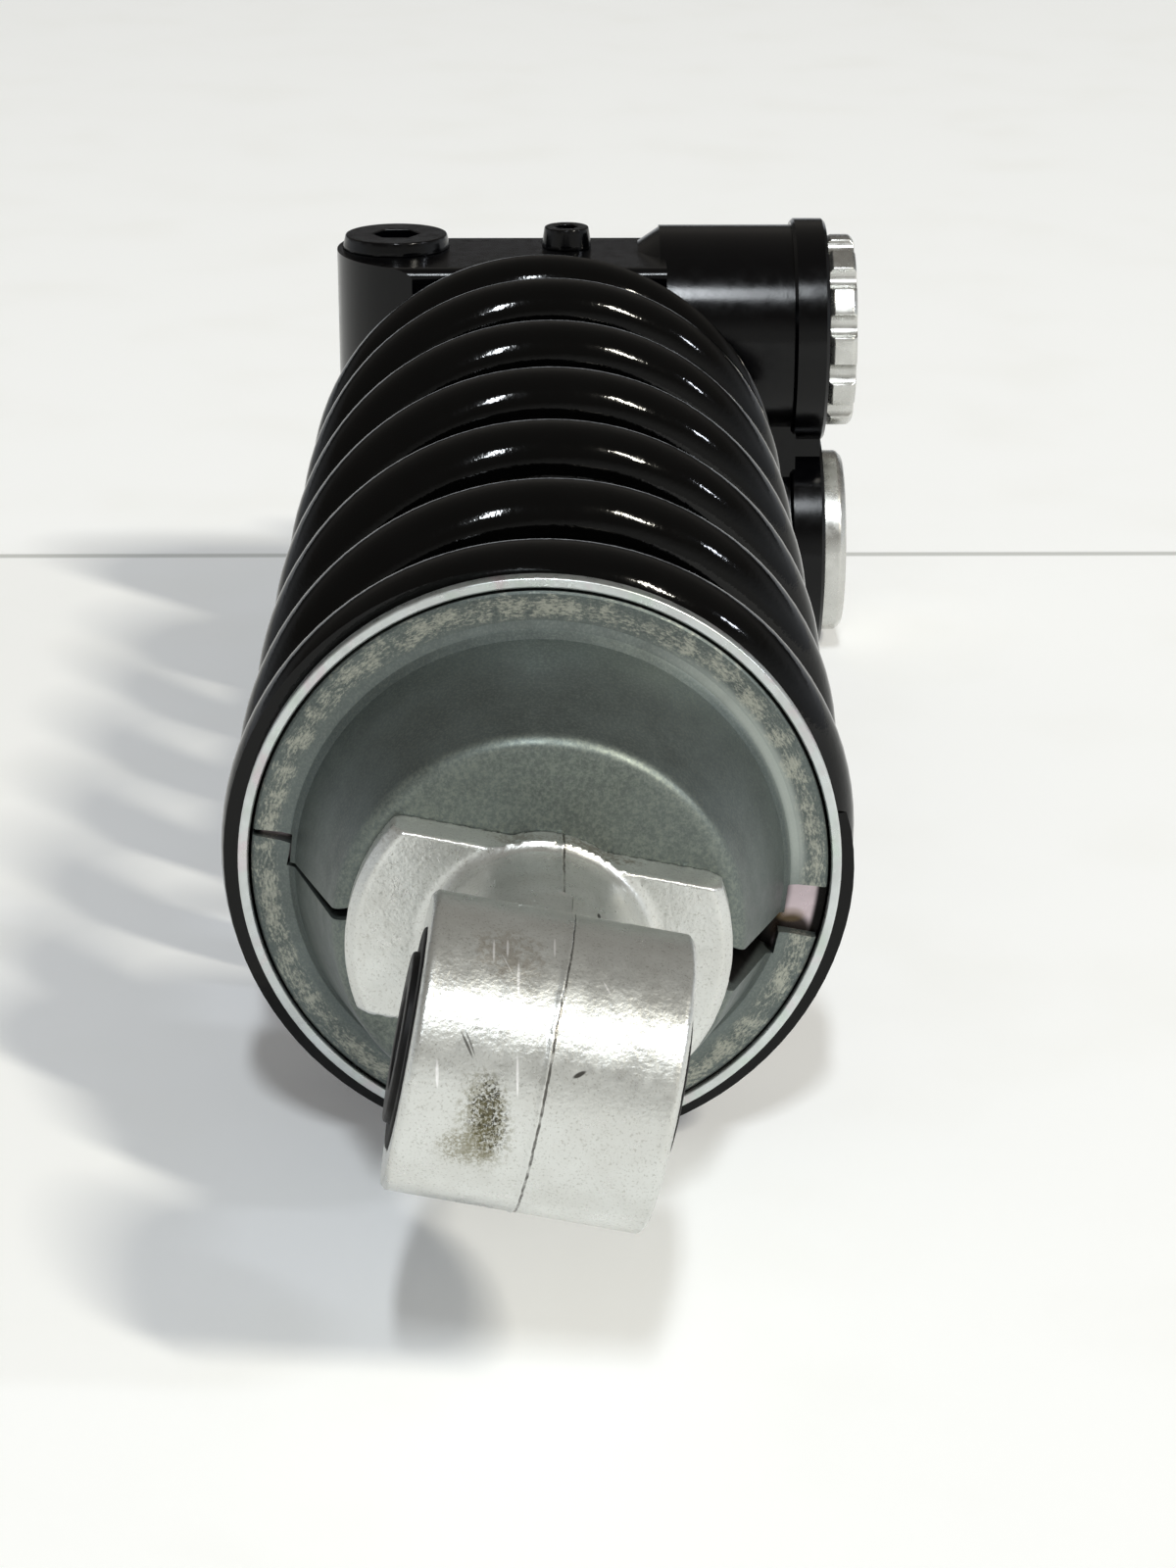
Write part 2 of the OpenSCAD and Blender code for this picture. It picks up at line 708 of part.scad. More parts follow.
module slotted_ring(r, y0, y1) {
    slot_w = 5;
    slot_depth = 3;
    difference() {
        turned_along_y(broken_disc(ring_in, r, y0, y1, edge_break));
        for (i = [0:slot_count - 1]) {
            rotate([0, (i + 0.5) * 360 / slot_count, 0])
                translate([r - slot_depth, y0 - 1, -slot_w / 2]) cube([slot_depth + 1, y1 - y0 + 2, slot_w]);
        }
    }
}

module preload_ring() color([0.12, 0.12, 0.13]) slotted_ring(ring_d / 2, ring_y, lock_y);

module lock_ring() color([0.12, 0.12, 0.13]) slotted_ring(lock_d / 2, lock_y, lock_y + lock_t);

// Head: one casting with the block, two cross barrels, the tube's boss and the upper eye

module barrel(z) {
    rod_along_x(barrel_r, block_right - 1, head_right - 1, barrel_y, z);
    turned_along_x([
        [0, block_right - 5], [barrel_r - 3, block_right - 5], [barrel_r, block_right - 0.5],
        [0, block_right - 0.5]
    ], barrel_y, z);
    turned_along_x([
        [0, rim_x], [rim_r - edge_break, rim_x], [rim_r, rim_x + edge_break],
        [rim_r, head_right - edge_break], [rim_r - edge_break, head_right], [0, head_right]
    ], barrel_y, z);
}

// Block outline seen along X, with rounded long edges and a slope behind its flat top
module block_side() {
    front = head_y + block_round;
    back = head_y + block_depth - block_round;
    base = -head_down + block_round;
    top = head_up - block_round;
    hull() {
        for (p = [
            [front, base], [front, top], [head_y + top_depth - block_round, top],
            [back, top - top_slope], [back, base]
        ]) {
            translate(p) circle(r = block_round, $fn = 32);
        }
    }
}

// Block with a round left end
module block() {
    end_r = block_depth / 2 + 1;
    end_x = end_r - head_left;
    height = head_up + head_down + 2;
    intersection() {
        side_along_x(-head_left, block_right) block_side();
        translate([end_x, head_y, -head_down - 1]) union() {
            translate([0, block_depth / 2, 0]) cylinder(r = end_r, h = height);
            translate([0, -1, 0]) cube([block_right - end_x + 1, block_depth + 2, height]);
        }
    }
}

// Upper eye's lug seen along X
module lug_side() {
    root = head_y + block_depth - 2;
    hull() {
        translate([upper_eye_y, 0]) circle(d = upper_eye_d);
        translate([root, -upper_eye_d / 2 - 3]) square([2, upper_eye_d + 6]);
    }
}

module side_along_x(x0, x1) {
    translate([x0, 0, 0]) rotate([90, 0, 90]) linear_extrude(x1 - x0) children();
}

module head() color([0.1, 0.1, 0.11]) difference() {
    union() {
        block();
        side_along_x(-upper_eye_w / 2, upper_eye_w / 2) lug_side();
        intersection() {
            union() {
                barrel(barrel_up);
                barrel(-barrel_down);
            }
            translate([0, head_y - 5, -head_down]) cube([head_right + 1, block_depth + 10, 100]);
        }
        translate([block_right - 1, barrel_y - web_w / 2, -barrel_down])
            cube([rim_x - block_right + 2, web_w, barrel_up + barrel_down]);
        translate([rim_x, barrel_y - rim_web_w / 2, -barrel_down])
            cube([rim_w - edge_break, rim_web_w, barrel_up + barrel_down]);
        turned_along_y(broken_disc(0, boss_d / 2, boss_y, head_y + 1, edge_break));
    }
    // Socket and passages from the tube to the barrels
    rod_along_y(tube_out + run, boss_y - 1, tube_y1);
    translate([0, 0, barrel_up / 2]) rod_along_y(passage_d / 2, head_y, barrel_y - cartridge_r / 2);
    translate([0, 0, -barrel_down * 5 / 8]) rod_along_y(passage_d / 2, head_y, barrel_y - reservoir_r / 2);
    // Valve bore above, reservoir bore below
    rod_along_x(cartridge_r + run, -valve_left, head_right + 1, barrel_y, barrel_up);
    rod_along_x(reservoir_r, -reservoir_left, head_right + 1, barrel_y, -barrel_down);
    // Threads of the filler plug and the bleed screw
    translate([-plug_left, barrel_y, head_up - plug_depth - edge_break])
        cylinder(r = thread_core, h = plug_depth + 2);
    translate([bleed_right, barrel_y, barrel_up + cartridge_r - 1]) cylinder(r = bleed_core, h = head_up);
    // Bore of the upper eye
    rod_along_x(bush_r, -upper_eye_w, upper_eye_w, upper_eye_y);
}

module filler_plug() color([0.12, 0.12, 0.13]) translate([-plug_left, barrel_y, 0]) difference() {
    union() {
        translate([0, 0, head_up]) cylinder(r1 = plug_r, r2 = plug_r - edge_break, h = plug_proud);
        translate([0, 0, head_up - plug_depth])
            cylinder(r = thread_core - run, h = plug_depth + plug_proud / 2);
    }
    translate([0, 0, head_up - plug_depth / 2]) cylinder(d = plug_socket, h = plug_depth, $fn = 6);
}

module bleed_screw() color([0.12, 0.12, 0.13]) translate([bleed_right, barrel_y, 0]) difference() {
    foot = barrel_up + cartridge_r + edge_break;
    union() {
        translate([0, 0, head_up]) cylinder(r1 = bleed_r, r2 = bleed_r - edge_break, h = bleed_proud);
        translate([0, 0, foot]) cylinder(r = bleed_core - run, h = head_up - foot + bleed_proud / 2);
    }
    translate([0, 0, head_up + bleed_proud / 5]) cylinder(d = bleed_socket, h = 2 * bleed_proud, $fn = 6);
}

// Upper barrel: compression valve and its two adjusters

module valve_cartridge() color("silver") difference() {
    floor_x = head_right - 4;
    union() {
        rod_along_x(cartridge_r, 2 - valve_left, head_right - 1, barrel_y, barrel_up);
        rod_along_x(hub_r, head_right - 2, head_right + knob_proud - knob_dish - 0.8, barrel_y, barrel_up);
    }
    rod_along_x(screw_r + run, floor_x, head_right + knob_proud, barrel_y, barrel_up);
}

module compression_knob() color("silver") {
    end = head_right + knob_proud;
    dish_x = end - knob_dish;
    dish_r = knob_r - knob_rim - knob_dish;
    break_w = 0.8;
    difference() {
        turned_along_x([
            [hub_r + run, knob_x], [knob_r - break_w, knob_x], [knob_r, knob_x + break_w],
            [knob_r, end - break_w], [knob_r - break_w, end], [knob_r - knob_rim, end],
            [dish_r, dish_x], [hub_r + run, dish_x]
        ], barrel_y, barrel_up);
        for (i = [0:knob_notches - 1]) {
            translate([0, barrel_y, barrel_up]) rotate([(i + 0.5) * 360 / knob_notches, 0, 0])
                rod_along_x(notch_d / 2, knob_x - 1, end + 1, 0, knob_r + loose, $fn = 32);
        }
    }
}

module high_speed_screw() color("darkgoldenrod") {
    foot_x = head_right - 4 + loose;
    end = head_right + knob_proud - edge_break;
    slot_w = 1.2;
    difference() {
        rod_along_x(screw_r, foot_x, end, barrel_y, barrel_up);
        translate([end - 2, barrel_y - slot_w / 2, barrel_up - screw_r - 1])
            cube([3, slot_w, 2 * screw_r + 2]);
    }
}

// Lower barrel: gas reservoir

module floating_piston() color("silver") difference() {
    rod_along_x(reservoir_r - run, float_x, float_x + float_len, barrel_y, -barrel_down);
    translate([float_x + float_len / 2 - 1.3, 0, 0]) difference() {
        rod_along_x(reservoir_r + 1, 0, 2.6, barrel_y, -barrel_down);
        rod_along_x(reservoir_r - 2.2, -1, 4, barrel_y, -barrel_down);
    }
    rod_along_x(reservoir_r - 5, float_x + float_len - 4, float_x + float_len + 1, barrel_y, -barrel_down);
}

module piston_oring() color([0.08, 0.08, 0.08])
    translate([float_x + float_len / 2, barrel_y, -barrel_down]) rotate([0, 90, 0])
        rotate_extrude() translate([reservoir_r - 1.1 - run, 0]) circle(r = 1.05, $fn = 24);

module reservoir_cap() color("silver") {
    seat = head_right - cap_depth;
    end = head_right + cap_proud;
    plug = reservoir_r - run;
    cap_r = cap_d / 2;
    difference() {
        turned_along_x([
            [0, seat], [plug - edge_break, seat], [plug, seat + edge_break], [plug, head_right],
            [cap_r, head_right], [cap_r, end - 2 * edge_break], [cap_r - 2 * edge_break, end], [0, end]
        ], barrel_y, -barrel_down);
        rod_along_x(cap_recess_d / 2, head_right - 1, end + 1, barrel_y, -barrel_down);
        rod_along_x(valve_r + run, seat - 1, head_right, barrel_y, -barrel_down);
    }
}

module gas_valve() color("goldenrod") {
    nut_x = head_right - 1;
    nut_h = cap_proud / 2;
    end = head_right + cap_proud - edge_break;
    rod_along_x(valve_r, head_right - cap_depth + 1, head_right - 0.5, barrel_y, -barrel_down);
    translate([nut_x, barrel_y, -barrel_down]) rotate([0, 90, 0])
        cylinder(r = 5 / 3 * valve_r, h = nut_h, $fn = 6);
    rod_along_x(valve_r * 1.06, nut_x + nut_h - 0.2, end, barrel_y, -barrel_down);
}

// Upper mount: a bonded rubber bush in the head's eye

module upper_bush_shell() color("gray")
    tube_along_x(bush_r, bush_r - bush_shell, -upper_eye_w / 2, upper_eye_w / 2, upper_eye_y);

module upper_bush_rubber() color([0.08, 0.08, 0.08]) {
    half = upper_eye_w / 2 - 0.5;
    tube_along_x(bush_r - bush_shell, upper_sleeve_r + run, -half, half, upper_eye_y);
}

module upper_sleeve() color("gainsboro")
    tube_along_x(upper_sleeve_r, upper_bore_r, -upper_eye_w / 2 - 2, upper_eye_w / 2 + 2, upper_eye_y);

lower_mount();
bearing_cup();
bearing_needles();
lower_sleeve();
dust_seal_left();
dust_seal_right();
collar_upper_half();
collar_lower_half();
seat_cup();
spring();
piston_rod();
bump_washer();
bump_stop();
top_out_ring();
piston();
piston_band();
rebound_shims();
compression_shims();
piston_nut();
damper_tube();
seal_head();
rod_bush();
rod_seal();
rod_wiper();
seal_circlip();
upper_seat();
slip_washer();
preload_ring();
lock_ring();
head();
valve_cartridge();
compression_knob();
high_speed_screw();
floating_piston();
piston_oring();
reservoir_cap();
gas_valve();
filler_plug();
bleed_screw();
upper_bush_shell();
upper_bush_rubber();
upper_sleeve();
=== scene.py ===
"""Coil-over rear damper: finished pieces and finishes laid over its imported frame."""

import json
import logging
import math
from dataclasses import dataclass
from enum import Enum
from typing import Iterable, Sequence

import bmesh
import bpy
from mathutils import Matrix, Vector, noise


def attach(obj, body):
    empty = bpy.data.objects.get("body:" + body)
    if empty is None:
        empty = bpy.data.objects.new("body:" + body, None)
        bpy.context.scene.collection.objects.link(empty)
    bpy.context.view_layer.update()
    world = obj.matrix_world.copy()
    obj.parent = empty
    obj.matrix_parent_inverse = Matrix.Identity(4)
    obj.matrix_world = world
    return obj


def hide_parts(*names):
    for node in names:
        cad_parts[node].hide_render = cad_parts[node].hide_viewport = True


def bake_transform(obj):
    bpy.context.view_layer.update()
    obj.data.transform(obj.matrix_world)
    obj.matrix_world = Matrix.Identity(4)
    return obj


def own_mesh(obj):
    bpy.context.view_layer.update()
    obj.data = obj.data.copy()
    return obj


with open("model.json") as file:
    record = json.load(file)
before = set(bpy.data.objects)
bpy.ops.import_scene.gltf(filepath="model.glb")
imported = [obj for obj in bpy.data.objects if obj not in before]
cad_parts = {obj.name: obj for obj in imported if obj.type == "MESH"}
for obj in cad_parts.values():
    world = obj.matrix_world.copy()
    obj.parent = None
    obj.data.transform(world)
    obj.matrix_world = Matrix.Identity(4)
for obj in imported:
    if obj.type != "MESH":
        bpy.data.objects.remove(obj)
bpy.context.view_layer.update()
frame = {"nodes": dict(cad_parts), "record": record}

LOG = logging.getLogger("rear_damper")
MM = 0.001
Point = tuple[float, float, float]
Socket = bpy.types.NodeSocket


class Body(Enum):
    """The record's moving bodies that the finished pieces ride on."""

    DAMPER = "damper"
    ROD = "rod"
    LOWER_SEAT = "lower_seat"
    SPRING_SEAT = "spring_seat"
    PRELOAD_RINGS = "preload_rings"
    COMPRESSION_DIAL = "compression_dial"
    HIGH_SPEED_DIAL = "high_speed_dial"
    LOWER_SLEEVE = "lower_bolt_sleeve"
    UPPER_SLEEVE = "upper_bolt_sleeve"


def linear(code: str) -> tuple[float, float, float, float]:
    """Turns an sRGB hex colour into the linear colour that shaders take.

    Args:
        code: six hex digits, such as "C8C6BE".

    Returns:
        The linear red, green, blue and an alpha of one.
    """
    parts = [int(code[i:i + 2], 16) / 255 for i in (0, 2, 4)]
    red, green, blue = (p / 12.92 if p <= 0.04045 else ((p + 0.055) / 1.055) ** 2.4 for p in parts)
    return red, green, blue, 1.0


def add_node(tree: bpy.types.NodeTree, kind: str, inputs: dict | None = None,
             **settings) -> bpy.types.Node:
    """Adds one node to a tree.

    Args:
        tree: the node tree.
        kind: the node's type name.
        inputs: values or sockets for its inputs, by name or number.
        **settings: the node's own settings.

    Returns:
        The new node.
    """
    node = tree.nodes.new(kind)
    for key, value in settings.items():
        setattr(node, key, value)
    for key, value in (inputs or {}).items():
        if isinstance(value, Socket):
            tree.links.new(value, node.inputs[key])
        else:
            node.inputs[key].default_value = value
    return node


class Paint:
    """The node tree of one material, with short ways to add patterns in real millimetres."""

    # Radius of the middle of the collar's lip, in mm
    arc_radius = 36.0

    def __init__(self, name: str) -> None:
        """Starts an empty material.

        Args:
            name: the material's name.
        """
        self.material = bpy.data.materials.new(name)
        self.material.use_nodes = True
        self.tree = self.material.node_tree
        self.tree.nodes.clear()
        self.place = add_node(self.tree, "ShaderNodeTexCoord").outputs["Object"]

    def maths(self, operation: str, first: Socket | float, second: Socket | float = 0.0) -> Socket:
        """Works out one sum of two values.

        Args:
            operation: the Math node's operation.
            first: the first value.
            second: the second value.

        Returns:
            The result.
        """
        node = add_node(self.tree, "ShaderNodeMath", {0: first, 1: second}, operation=operation)
        return node.outputs[0]

    def remap(self, value: Socket, low: float, high: float, start: float = 0.0,
              end: float = 1.0) -> Socket:
        """Moves a value smoothly from one range to another and stops it at the ends.

        Args:
            value: the value to move.
            low: where the old range starts.
            high: where the old range ends.
            start: where the new range starts.
            end: where the new range ends.

        Returns:
            The moved value.
        """
        node = add_node(self.tree, "ShaderNodeMapRange", {0: value, 1: low, 2: high, 3: start, 4: end},
                        interpolation_type="SMOOTHSTEP")
        return node.outputs[0]

    def noise(self, size_mm: float, detail: float = 3.0, rough: float = 0.55, bend: float = 0.0,
              vector: Socket | None = None) -> Socket:
        """Adds cloudy noise.

        Args:
            size_mm: the size of one cloud.
            detail: how many finer layers it has.
            rough: how strong the finer layers are.
            bend: how far it bends itself.
            vector: the coordinates, or None for the object's own.

        Returns:
            The noise, about one half on average.
        """
        node = add_node(self.tree, "ShaderNodeTexNoise",
                        {"Vector": vector or self.place, "Scale": 1 / (size_mm * MM), "Detail": detail,
                         "Roughness": rough, "Distortion": bend})
        return node.outputs["Fac"]

    def cells(self, size_mm: float) -> Socket:
        """Adds the distance to the nearest of many scattered points, for pits and pebbles."""
        node = add_node(self.tree, "ShaderNodeTexVoronoi",
                        {"Vector": self.place, "Scale": 1 / (size_mm * MM)})
        return node.outputs["Distance"]

    def moved(self, centre: Point, size: Point = (1.0, 1.0, 1.0), turn: Point = (0.0, 0.0, 0.0)) -> Socket:
        """Gives coordinates that start at a place on the object.

        Args:
            centre: the place, in mm.
            size: how many mm one unit is, along each axis.
            turn: the turn of the axes, in radians.

        Returns:
            The coordinates.
        """
        node = add_node(self.tree, "ShaderNodeMapping",
                        {"Vector": self.place, "Location": [c * MM for c in centre], "Rotation": turn,
                         "Scale": [s * MM for s in size]}, vector_type="TEXTURE")
        return node.outputs[0]

    def mix(self, factor: Socket | float, first: Socket | Sequence[float],
            second: Socket | Sequence[float]) -> Socket:
        """Mixes two colours.

        Args:
            factor: the share of the second colour.
            first: the first colour.
            second: the second colour.

        Returns:
            The mixed colour.
        """
        node = add_node(self.tree, "ShaderNodeMix", {0: factor, 6: first, 7: second}, data_type="RGBA")
        return node.outputs[2]

    def attribute(self, name: str) -> Socket:
        """Reads a value that the piece's own mesh holds."""
        return add_node(self.tree, "ShaderNodeAttribute", attribute_name=name).outputs["Fac"]

    def polar(self, stretch: float) -> Socket:
        """Gives coordinates that run round the damper's axis, in metres.

        Args:
            stretch: how many times longer patterns are round the axis than across.

        Returns:
            The arc length at the collar lip's radius, the radius and the station.
        """
        split = add_node(self.tree, "ShaderNodeSeparateXYZ", {0: self.place})
        angle = self.maths("ARCTAN2", split.outputs["Z"], split.outputs["X"])
        arc = self.maths("MULTIPLY", angle, self.arc_radius * MM / stretch)
        across = self.maths("MULTIPLY", self.radius(), MM)
        return add_node(self.tree, "ShaderNodeCombineXYZ",
                        {"X": arc, "Y": across, "Z": split.outputs["Y"]}).outputs[0]

    def radius(self) -> Socket:
        """Measures the distance from the damper's axis.

        Returns:
            The distance, in mm.
        """
        flat = add_node(self.tree, "ShaderNodeVectorMath", {0: self.place, 1: (1 / MM, 0.0, 1 / MM)},
                        operation="MULTIPLY").outputs[0]
        return add_node(self.tree, "ShaderNodeVectorMath", {0: flat}, operation="LENGTH").outputs["Value"]

    def along(self, axis: str) -> Socket:
        """Gives the place along one axis, in mm.

        Args:
            axis: the axis, X, Y or Z.

        Returns:
            The place.
        """
        split = add_node(self.tree, "ShaderNodeSeparateXYZ", {0: self.place})
        return self.maths("MULTIPLY", split.outputs[axis], 1 / MM)


@dataclass(frozen=True)
class Blot:
    """One mark on a surface: a stain, a dent, a scratch or painted shade.

    A mark is an egg-shaped zone about its centre, long along one direction. It fades in over its outer
    part, and a speckled one breaks up into grains there.
    """

    fade = 0.45
    crowding = 0.14
    grain_levels = (0.5, 0.64)

    centre: Point
    size: Point
    along: Point = (0.0, 0.0, 1.0)
    tint: str = "3A332B"
    strength: float = 0.9
    speckle_mm: float = 0.0

    def mask(self, paint: Paint) -> Socket:
        """Gives the mark's strength over the surface.

        Args:
            paint: the material that it is on.

        Returns:
            Its strength, none outside the mark.
        """
        turn = Vector(self.along).to_track_quat("Z", "Y").to_euler()
        place = paint.moved(self.centre, self.size, tuple(turn))
        zone = add_node(paint.tree, "ShaderNodeTexGradient", {0: place},
                        gradient_type="SPHERICAL").outputs["Fac"]
        mask = paint.remap(zone, 0.0, self.fade, 0.0, self.strength)
        if self.speckle_mm:
            grain = paint.noise(self.speckle_mm, detail=5.0, rough=0.75, bend=0.4)
            crowded = paint.maths("ADD", grain, paint.maths("MULTIPLY", zone, self.crowding))
            mask = paint.maths("MULTIPLY", mask, paint.remap(crowded, *self.grain_levels))
        return mask


@dataclass(frozen=True)
class Finish:
    """A worked surface: its colour drifts a little, its gloss is uneven and its skin has a fine grain.

    A real grain of a tenth of a millimetre or less doesn't show from here, so the plated, painted, oiled
    and ground skins have theirs drawn at 0.25 to 0.5 mm.
    """

    slot: str
    name: str
    tint: str
    shade: str
    metal: float
    gloss: tuple[float, float]
    patch_mm: float = 7.0
    grain_mm: float = 0.5
    relief_mm: float = 0.006
    shine: float = 0.5
    marks: tuple[Blot, ...] = ()

    def colour(self, paint: Paint) -> Socket:
        """Mixes the two colours in soft patches.

        Args:
            paint: the material that is being built.

        Returns:
            The colour.
        """
        patches = paint.remap(paint.noise(self.patch_mm, detail=4.0), 0.3, 0.7)
        return paint.mix(patches, linear(self.tint), linear(self.shade))

    def roughness(self, paint: Paint) -> Socket:
        """Varies the gloss in patches of a third of the colour's size.

        Args:
            paint: the material that is being built.

        Returns:
            The roughness.
        """
        return paint.remap(paint.noise(self.patch_mm / 3, detail=3.0), 0.3, 0.7, *self.gloss)

    def height(self, paint: Paint) -> Socket:
        """Gives the relief of the skin.

        Args:
            paint: the material that is being built.

        Returns:
            The height, in units of the finish's own relief.
        """
        return paint.noise(self.grain_mm, detail=2.0)

    def material(self) -> bpy.types.Material:
        """Builds the material.

        Returns:
            The finished material.
        """
        paint = Paint(self.name)
        colour = self.colour(paint)
        for mark in self.marks:
            colour = paint.mix(mark.mask(paint), colour, linear(mark.tint))
        bump = add_node(paint.tree, "ShaderNodeBump",
                        {"Height": self.height(paint), "Distance": self.relief_mm * MM, "Strength": 1.0})
        shader = add_node(paint.tree, "ShaderNodeBsdfPrincipled",
                          {"Base Color": colour, "Roughness": self.roughness(paint), "Metallic": self.metal,
                           "Specular IOR Level": self.shine, "Normal": bump.outputs[0]})
        add_node(paint.tree, "ShaderNodeOutputMaterial", {"Surface": shader.outputs[0]})
        return paint.material


@dataclass(frozen=True)
class ShotBlastCast(Finish):
    """Shot-blasted cast aluminium: a pale satin skin of fine dimples, with dirt along the parting line."""

    pore_mm: float = 0.3
    pore_tint: str = "8F8D84"
    speck_mm: float = 0.35
    zone_mm: float = 9.0
    nick_mm: float = 1.8
    speck_tint: str = "5E574A"
    line_tint: str = "2E2923"

    def colour(self, paint: Paint) -> Socket:
        """Adds dirty pores in loose groups, and a thin dark line beside the parting line.

        Args:
            paint: the material that is being built.

        Returns:
            The colour.
        """
        base = super().colour(paint)
        pores = paint.remap(paint.noise(self.pore_mm, detail=2.0, rough=0.6), 0.54, 0.72, 0.0, 0.45)
        base = paint.mix(pores, base, linear(self.pore_tint))
        specks = paint.remap(paint.noise(self.speck_mm, detail=3.0, rough=0.7), 0.6, 0.72, 0.0, 0.6)
        zones = paint.remap(paint.noise(self.zone_mm, detail=2.0), 0.5, 0.66)
        base = paint.mix(paint.maths("MULTIPLY", specks, zones), base, linear(self.speck_tint))
        nicks = paint.remap(paint.noise(self.nick_mm, detail=3.0), 0.3, 0.55, 0.3, 0.85)
        line = paint.maths("MULTIPLY", paint.remap(paint.attribute("seam"), 0.35, 0.95), nicks)
        return paint.mix(line, base, linear(self.line_tint))

    def height(self, paint: Paint) -> Socket:
        """Lays fine dimples over ones about twice as broad.

        Args:
            paint: the material that is being built.

        Returns:
            The height, in units of the finish's own relief.
        """
        broad = paint.maths("MULTIPLY", paint.noise(2.2 * self.grain_mm, detail=1.0), 0.6)
        return paint.maths("ADD", paint.noise(self.grain_mm, detail=2.0, rough=0.5), broad)


@dataclass(frozen=True)
class CollarCast(Finish):
    """Dark blasted collar casting: an even cone, a crown and lip worn paler, and a painted highlight in the
    hollow.
    """

    hollow_radius: float = 34.0
    worn_radius: float = 36.0
    crown_start: float = 38.2
    crown_end: float = 40.2
    crown_radius: float = 26.4
    slope: float = 0.278
    fleck_mm: float = 0.35
    streak_mm: float = 0.34
    group_mm: float = 2.4
    cloud_mm: float = 0.6
    sunny_x: tuple[float, float] = (8.0, 33.0)
    sunny_z: tuple[float, float] = (-8.0, 6.0)
    # Near black painted shade, for the cone's inner wall
    painted_shade: str = "0D0C0B"
    worn: str = "B4B5A8"
    # Pale colour of the hollow: faint wear all round, and a painted highlight on its lit side
    rubbed_and_lit: str = "A9B0AB"
    pale: str = "7F867E"

    def colour(self, paint: Paint) -> Socket:
        """Speckles it, streaks its lip, rubs its crown and hollow, paints a hollow highlight and inner-wall
        shade.

        Args:
            paint: the material that is being built.

        Returns:
            The colour.
        """
        base = super().colour(paint)
        grain = paint.remap(paint.noise(self.fleck_mm, detail=3.0, rough=0.7), 0.4, 0.7, 0.0, 0.35)
        base = paint.mix(grain, base, linear(self.pale))
        radius = paint.radius()
        # Painted highlight: the hollow's pale ring is faint all round and strong only on the lit right side,
        # where the lamps catch it
        off_hollow = paint.maths("ABSOLUTE", paint.maths("SUBTRACT", radius, self.hollow_radius))
        sunny = paint.maths("MULTIPLY", paint.remap(paint.along("X"), *self.sunny_x),
                            paint.remap(paint.along("Z"), *self.sunny_z))
        hollow = paint.maths("MULTIPLY", paint.remap(off_hollow, 0.4, 1.5, 1.0, 0.0),
                             paint.remap(sunny, 0.0, 1.0, 0.08, 0.7))
        base = paint.mix(hollow, base, linear(self.rubbed_and_lit))
        streaks = paint.noise(self.streak_mm, detail=6.0, rough=0.8, vector=paint.polar(2.6))
        groups = paint.remap(paint.noise(self.group_mm, detail=2.0), 0.3, 0.7, -0.07, 0.07)
        streaks = paint.maths("ADD", streaks, groups)
        off_middle = paint.maths("ABSOLUTE", paint.maths("SUBTRACT", radius, self.worn_radius))
        near = paint.remap(off_middle, 0.2, 2.2, 0.07, -0.05)
        worn = paint.remap(paint.maths("ADD", streaks, near), 0.47, 0.68, 0.0, 0.7)
        lip = paint.remap(radius, self.hollow_radius, self.hollow_radius + 0.8)
        base = paint.mix(paint.maths("MULTIPLY", lip, worn), base, linear(self.worn))
        crown = paint.remap(paint.along("Y"), self.crown_end - 1.4, self.crown_end, 1.0, 0.0)
        cloud = paint.remap(paint.noise(self.cloud_mm, detail=6.0, rough=0.75), 0.4, 0.65, 0.15, 0.75)
        base = paint.mix(paint.maths("MULTIPLY", crown, cloud), base, linear(self.pale))
        # Painted shade: past the crown, the inside of the cone's wall is darkened to near black
        past_crown = paint.maths("SUBTRACT", paint.along("Y"), self.crown_start)
        cone = paint.maths("MULTIPLY", past_crown, self.slope)
        depth = paint.maths("SUBTRACT", paint.maths("ADD", cone, self.crown_radius), radius)
        inner_wall_shade = paint.maths("MULTIPLY", paint.remap(depth, 0.8, 1.8),
                            paint.remap(paint.along("Y"), self.crown_end + 1, self.crown_end + 2))
        return paint.mix(inner_wall_shade, base, linear(self.painted_shade))


@dataclass(frozen=True)
class BrightZinc(Finish):
    """Bright zinc with a thin clear passivate: pale metal with a faint green and pink bloom."""

    inside: float = 61.0
    lit_from: float = 32.6
    lit_to: float = 37.4
    wall_radius: float = 38.7
    green_mm: float = 5.0
    green_tint: str = "B9C9BC"
    pink_mm: float = 6.5
    pink_tint: str = "CBB4BD"
    # Floor colour inside the cup: pinker than the plating, and painted darker as shade
    floor_tint: str = "BFB1B6"
    # Near black painted shade, for the cup's corner and its bend
    painted_shade: str = "0C0A09"

    def colour(self, paint: Paint) -> Socket:
        """Blooms green and pink, and paints shade on the cup's floor: darker and pinker, black in its corner
        and bend.

        Args:
            paint: the material that is being built.

        Returns:
            The colour.
        """
        base = super().colour(paint)
        green = paint.remap(paint.noise(self.green_mm, detail=3.0), 0.48, 0.68, 0.0, 0.5)
        base = paint.mix(green, base, linear(self.green_tint))
        pink = paint.remap(paint.noise(self.pink_mm, detail=3.0, bend=0.6), 0.52, 0.7, 0.0, 0.45)
        base = paint.mix(pink, base, linear(self.pink_tint))
        # Painted shade: inside the cup the floor takes the darker floor tint in the lit band, and near black
        # outside it, in the corner by the wall and at the inner bend
        radius = paint.radius()
        lit_band = paint.maths("MULTIPLY", paint.remap(radius, self.lit_from, self.lit_from + 1.4),
                            paint.remap(radius, self.lit_to - 0.8, self.lit_to, 1.0, 0.0))
        floor = paint.mix(lit_band, linear(self.painted_shade), linear(self.floor_tint))
        deep = paint.maths("MULTIPLY", paint.remap(paint.along("Y"), self.inside, self.inside + 0.6),
                           paint.remap(radius, self.wall_radius, self.wall_radius + 0.4, 1.0, 0.0))
        return paint.mix(deep, base, floor)


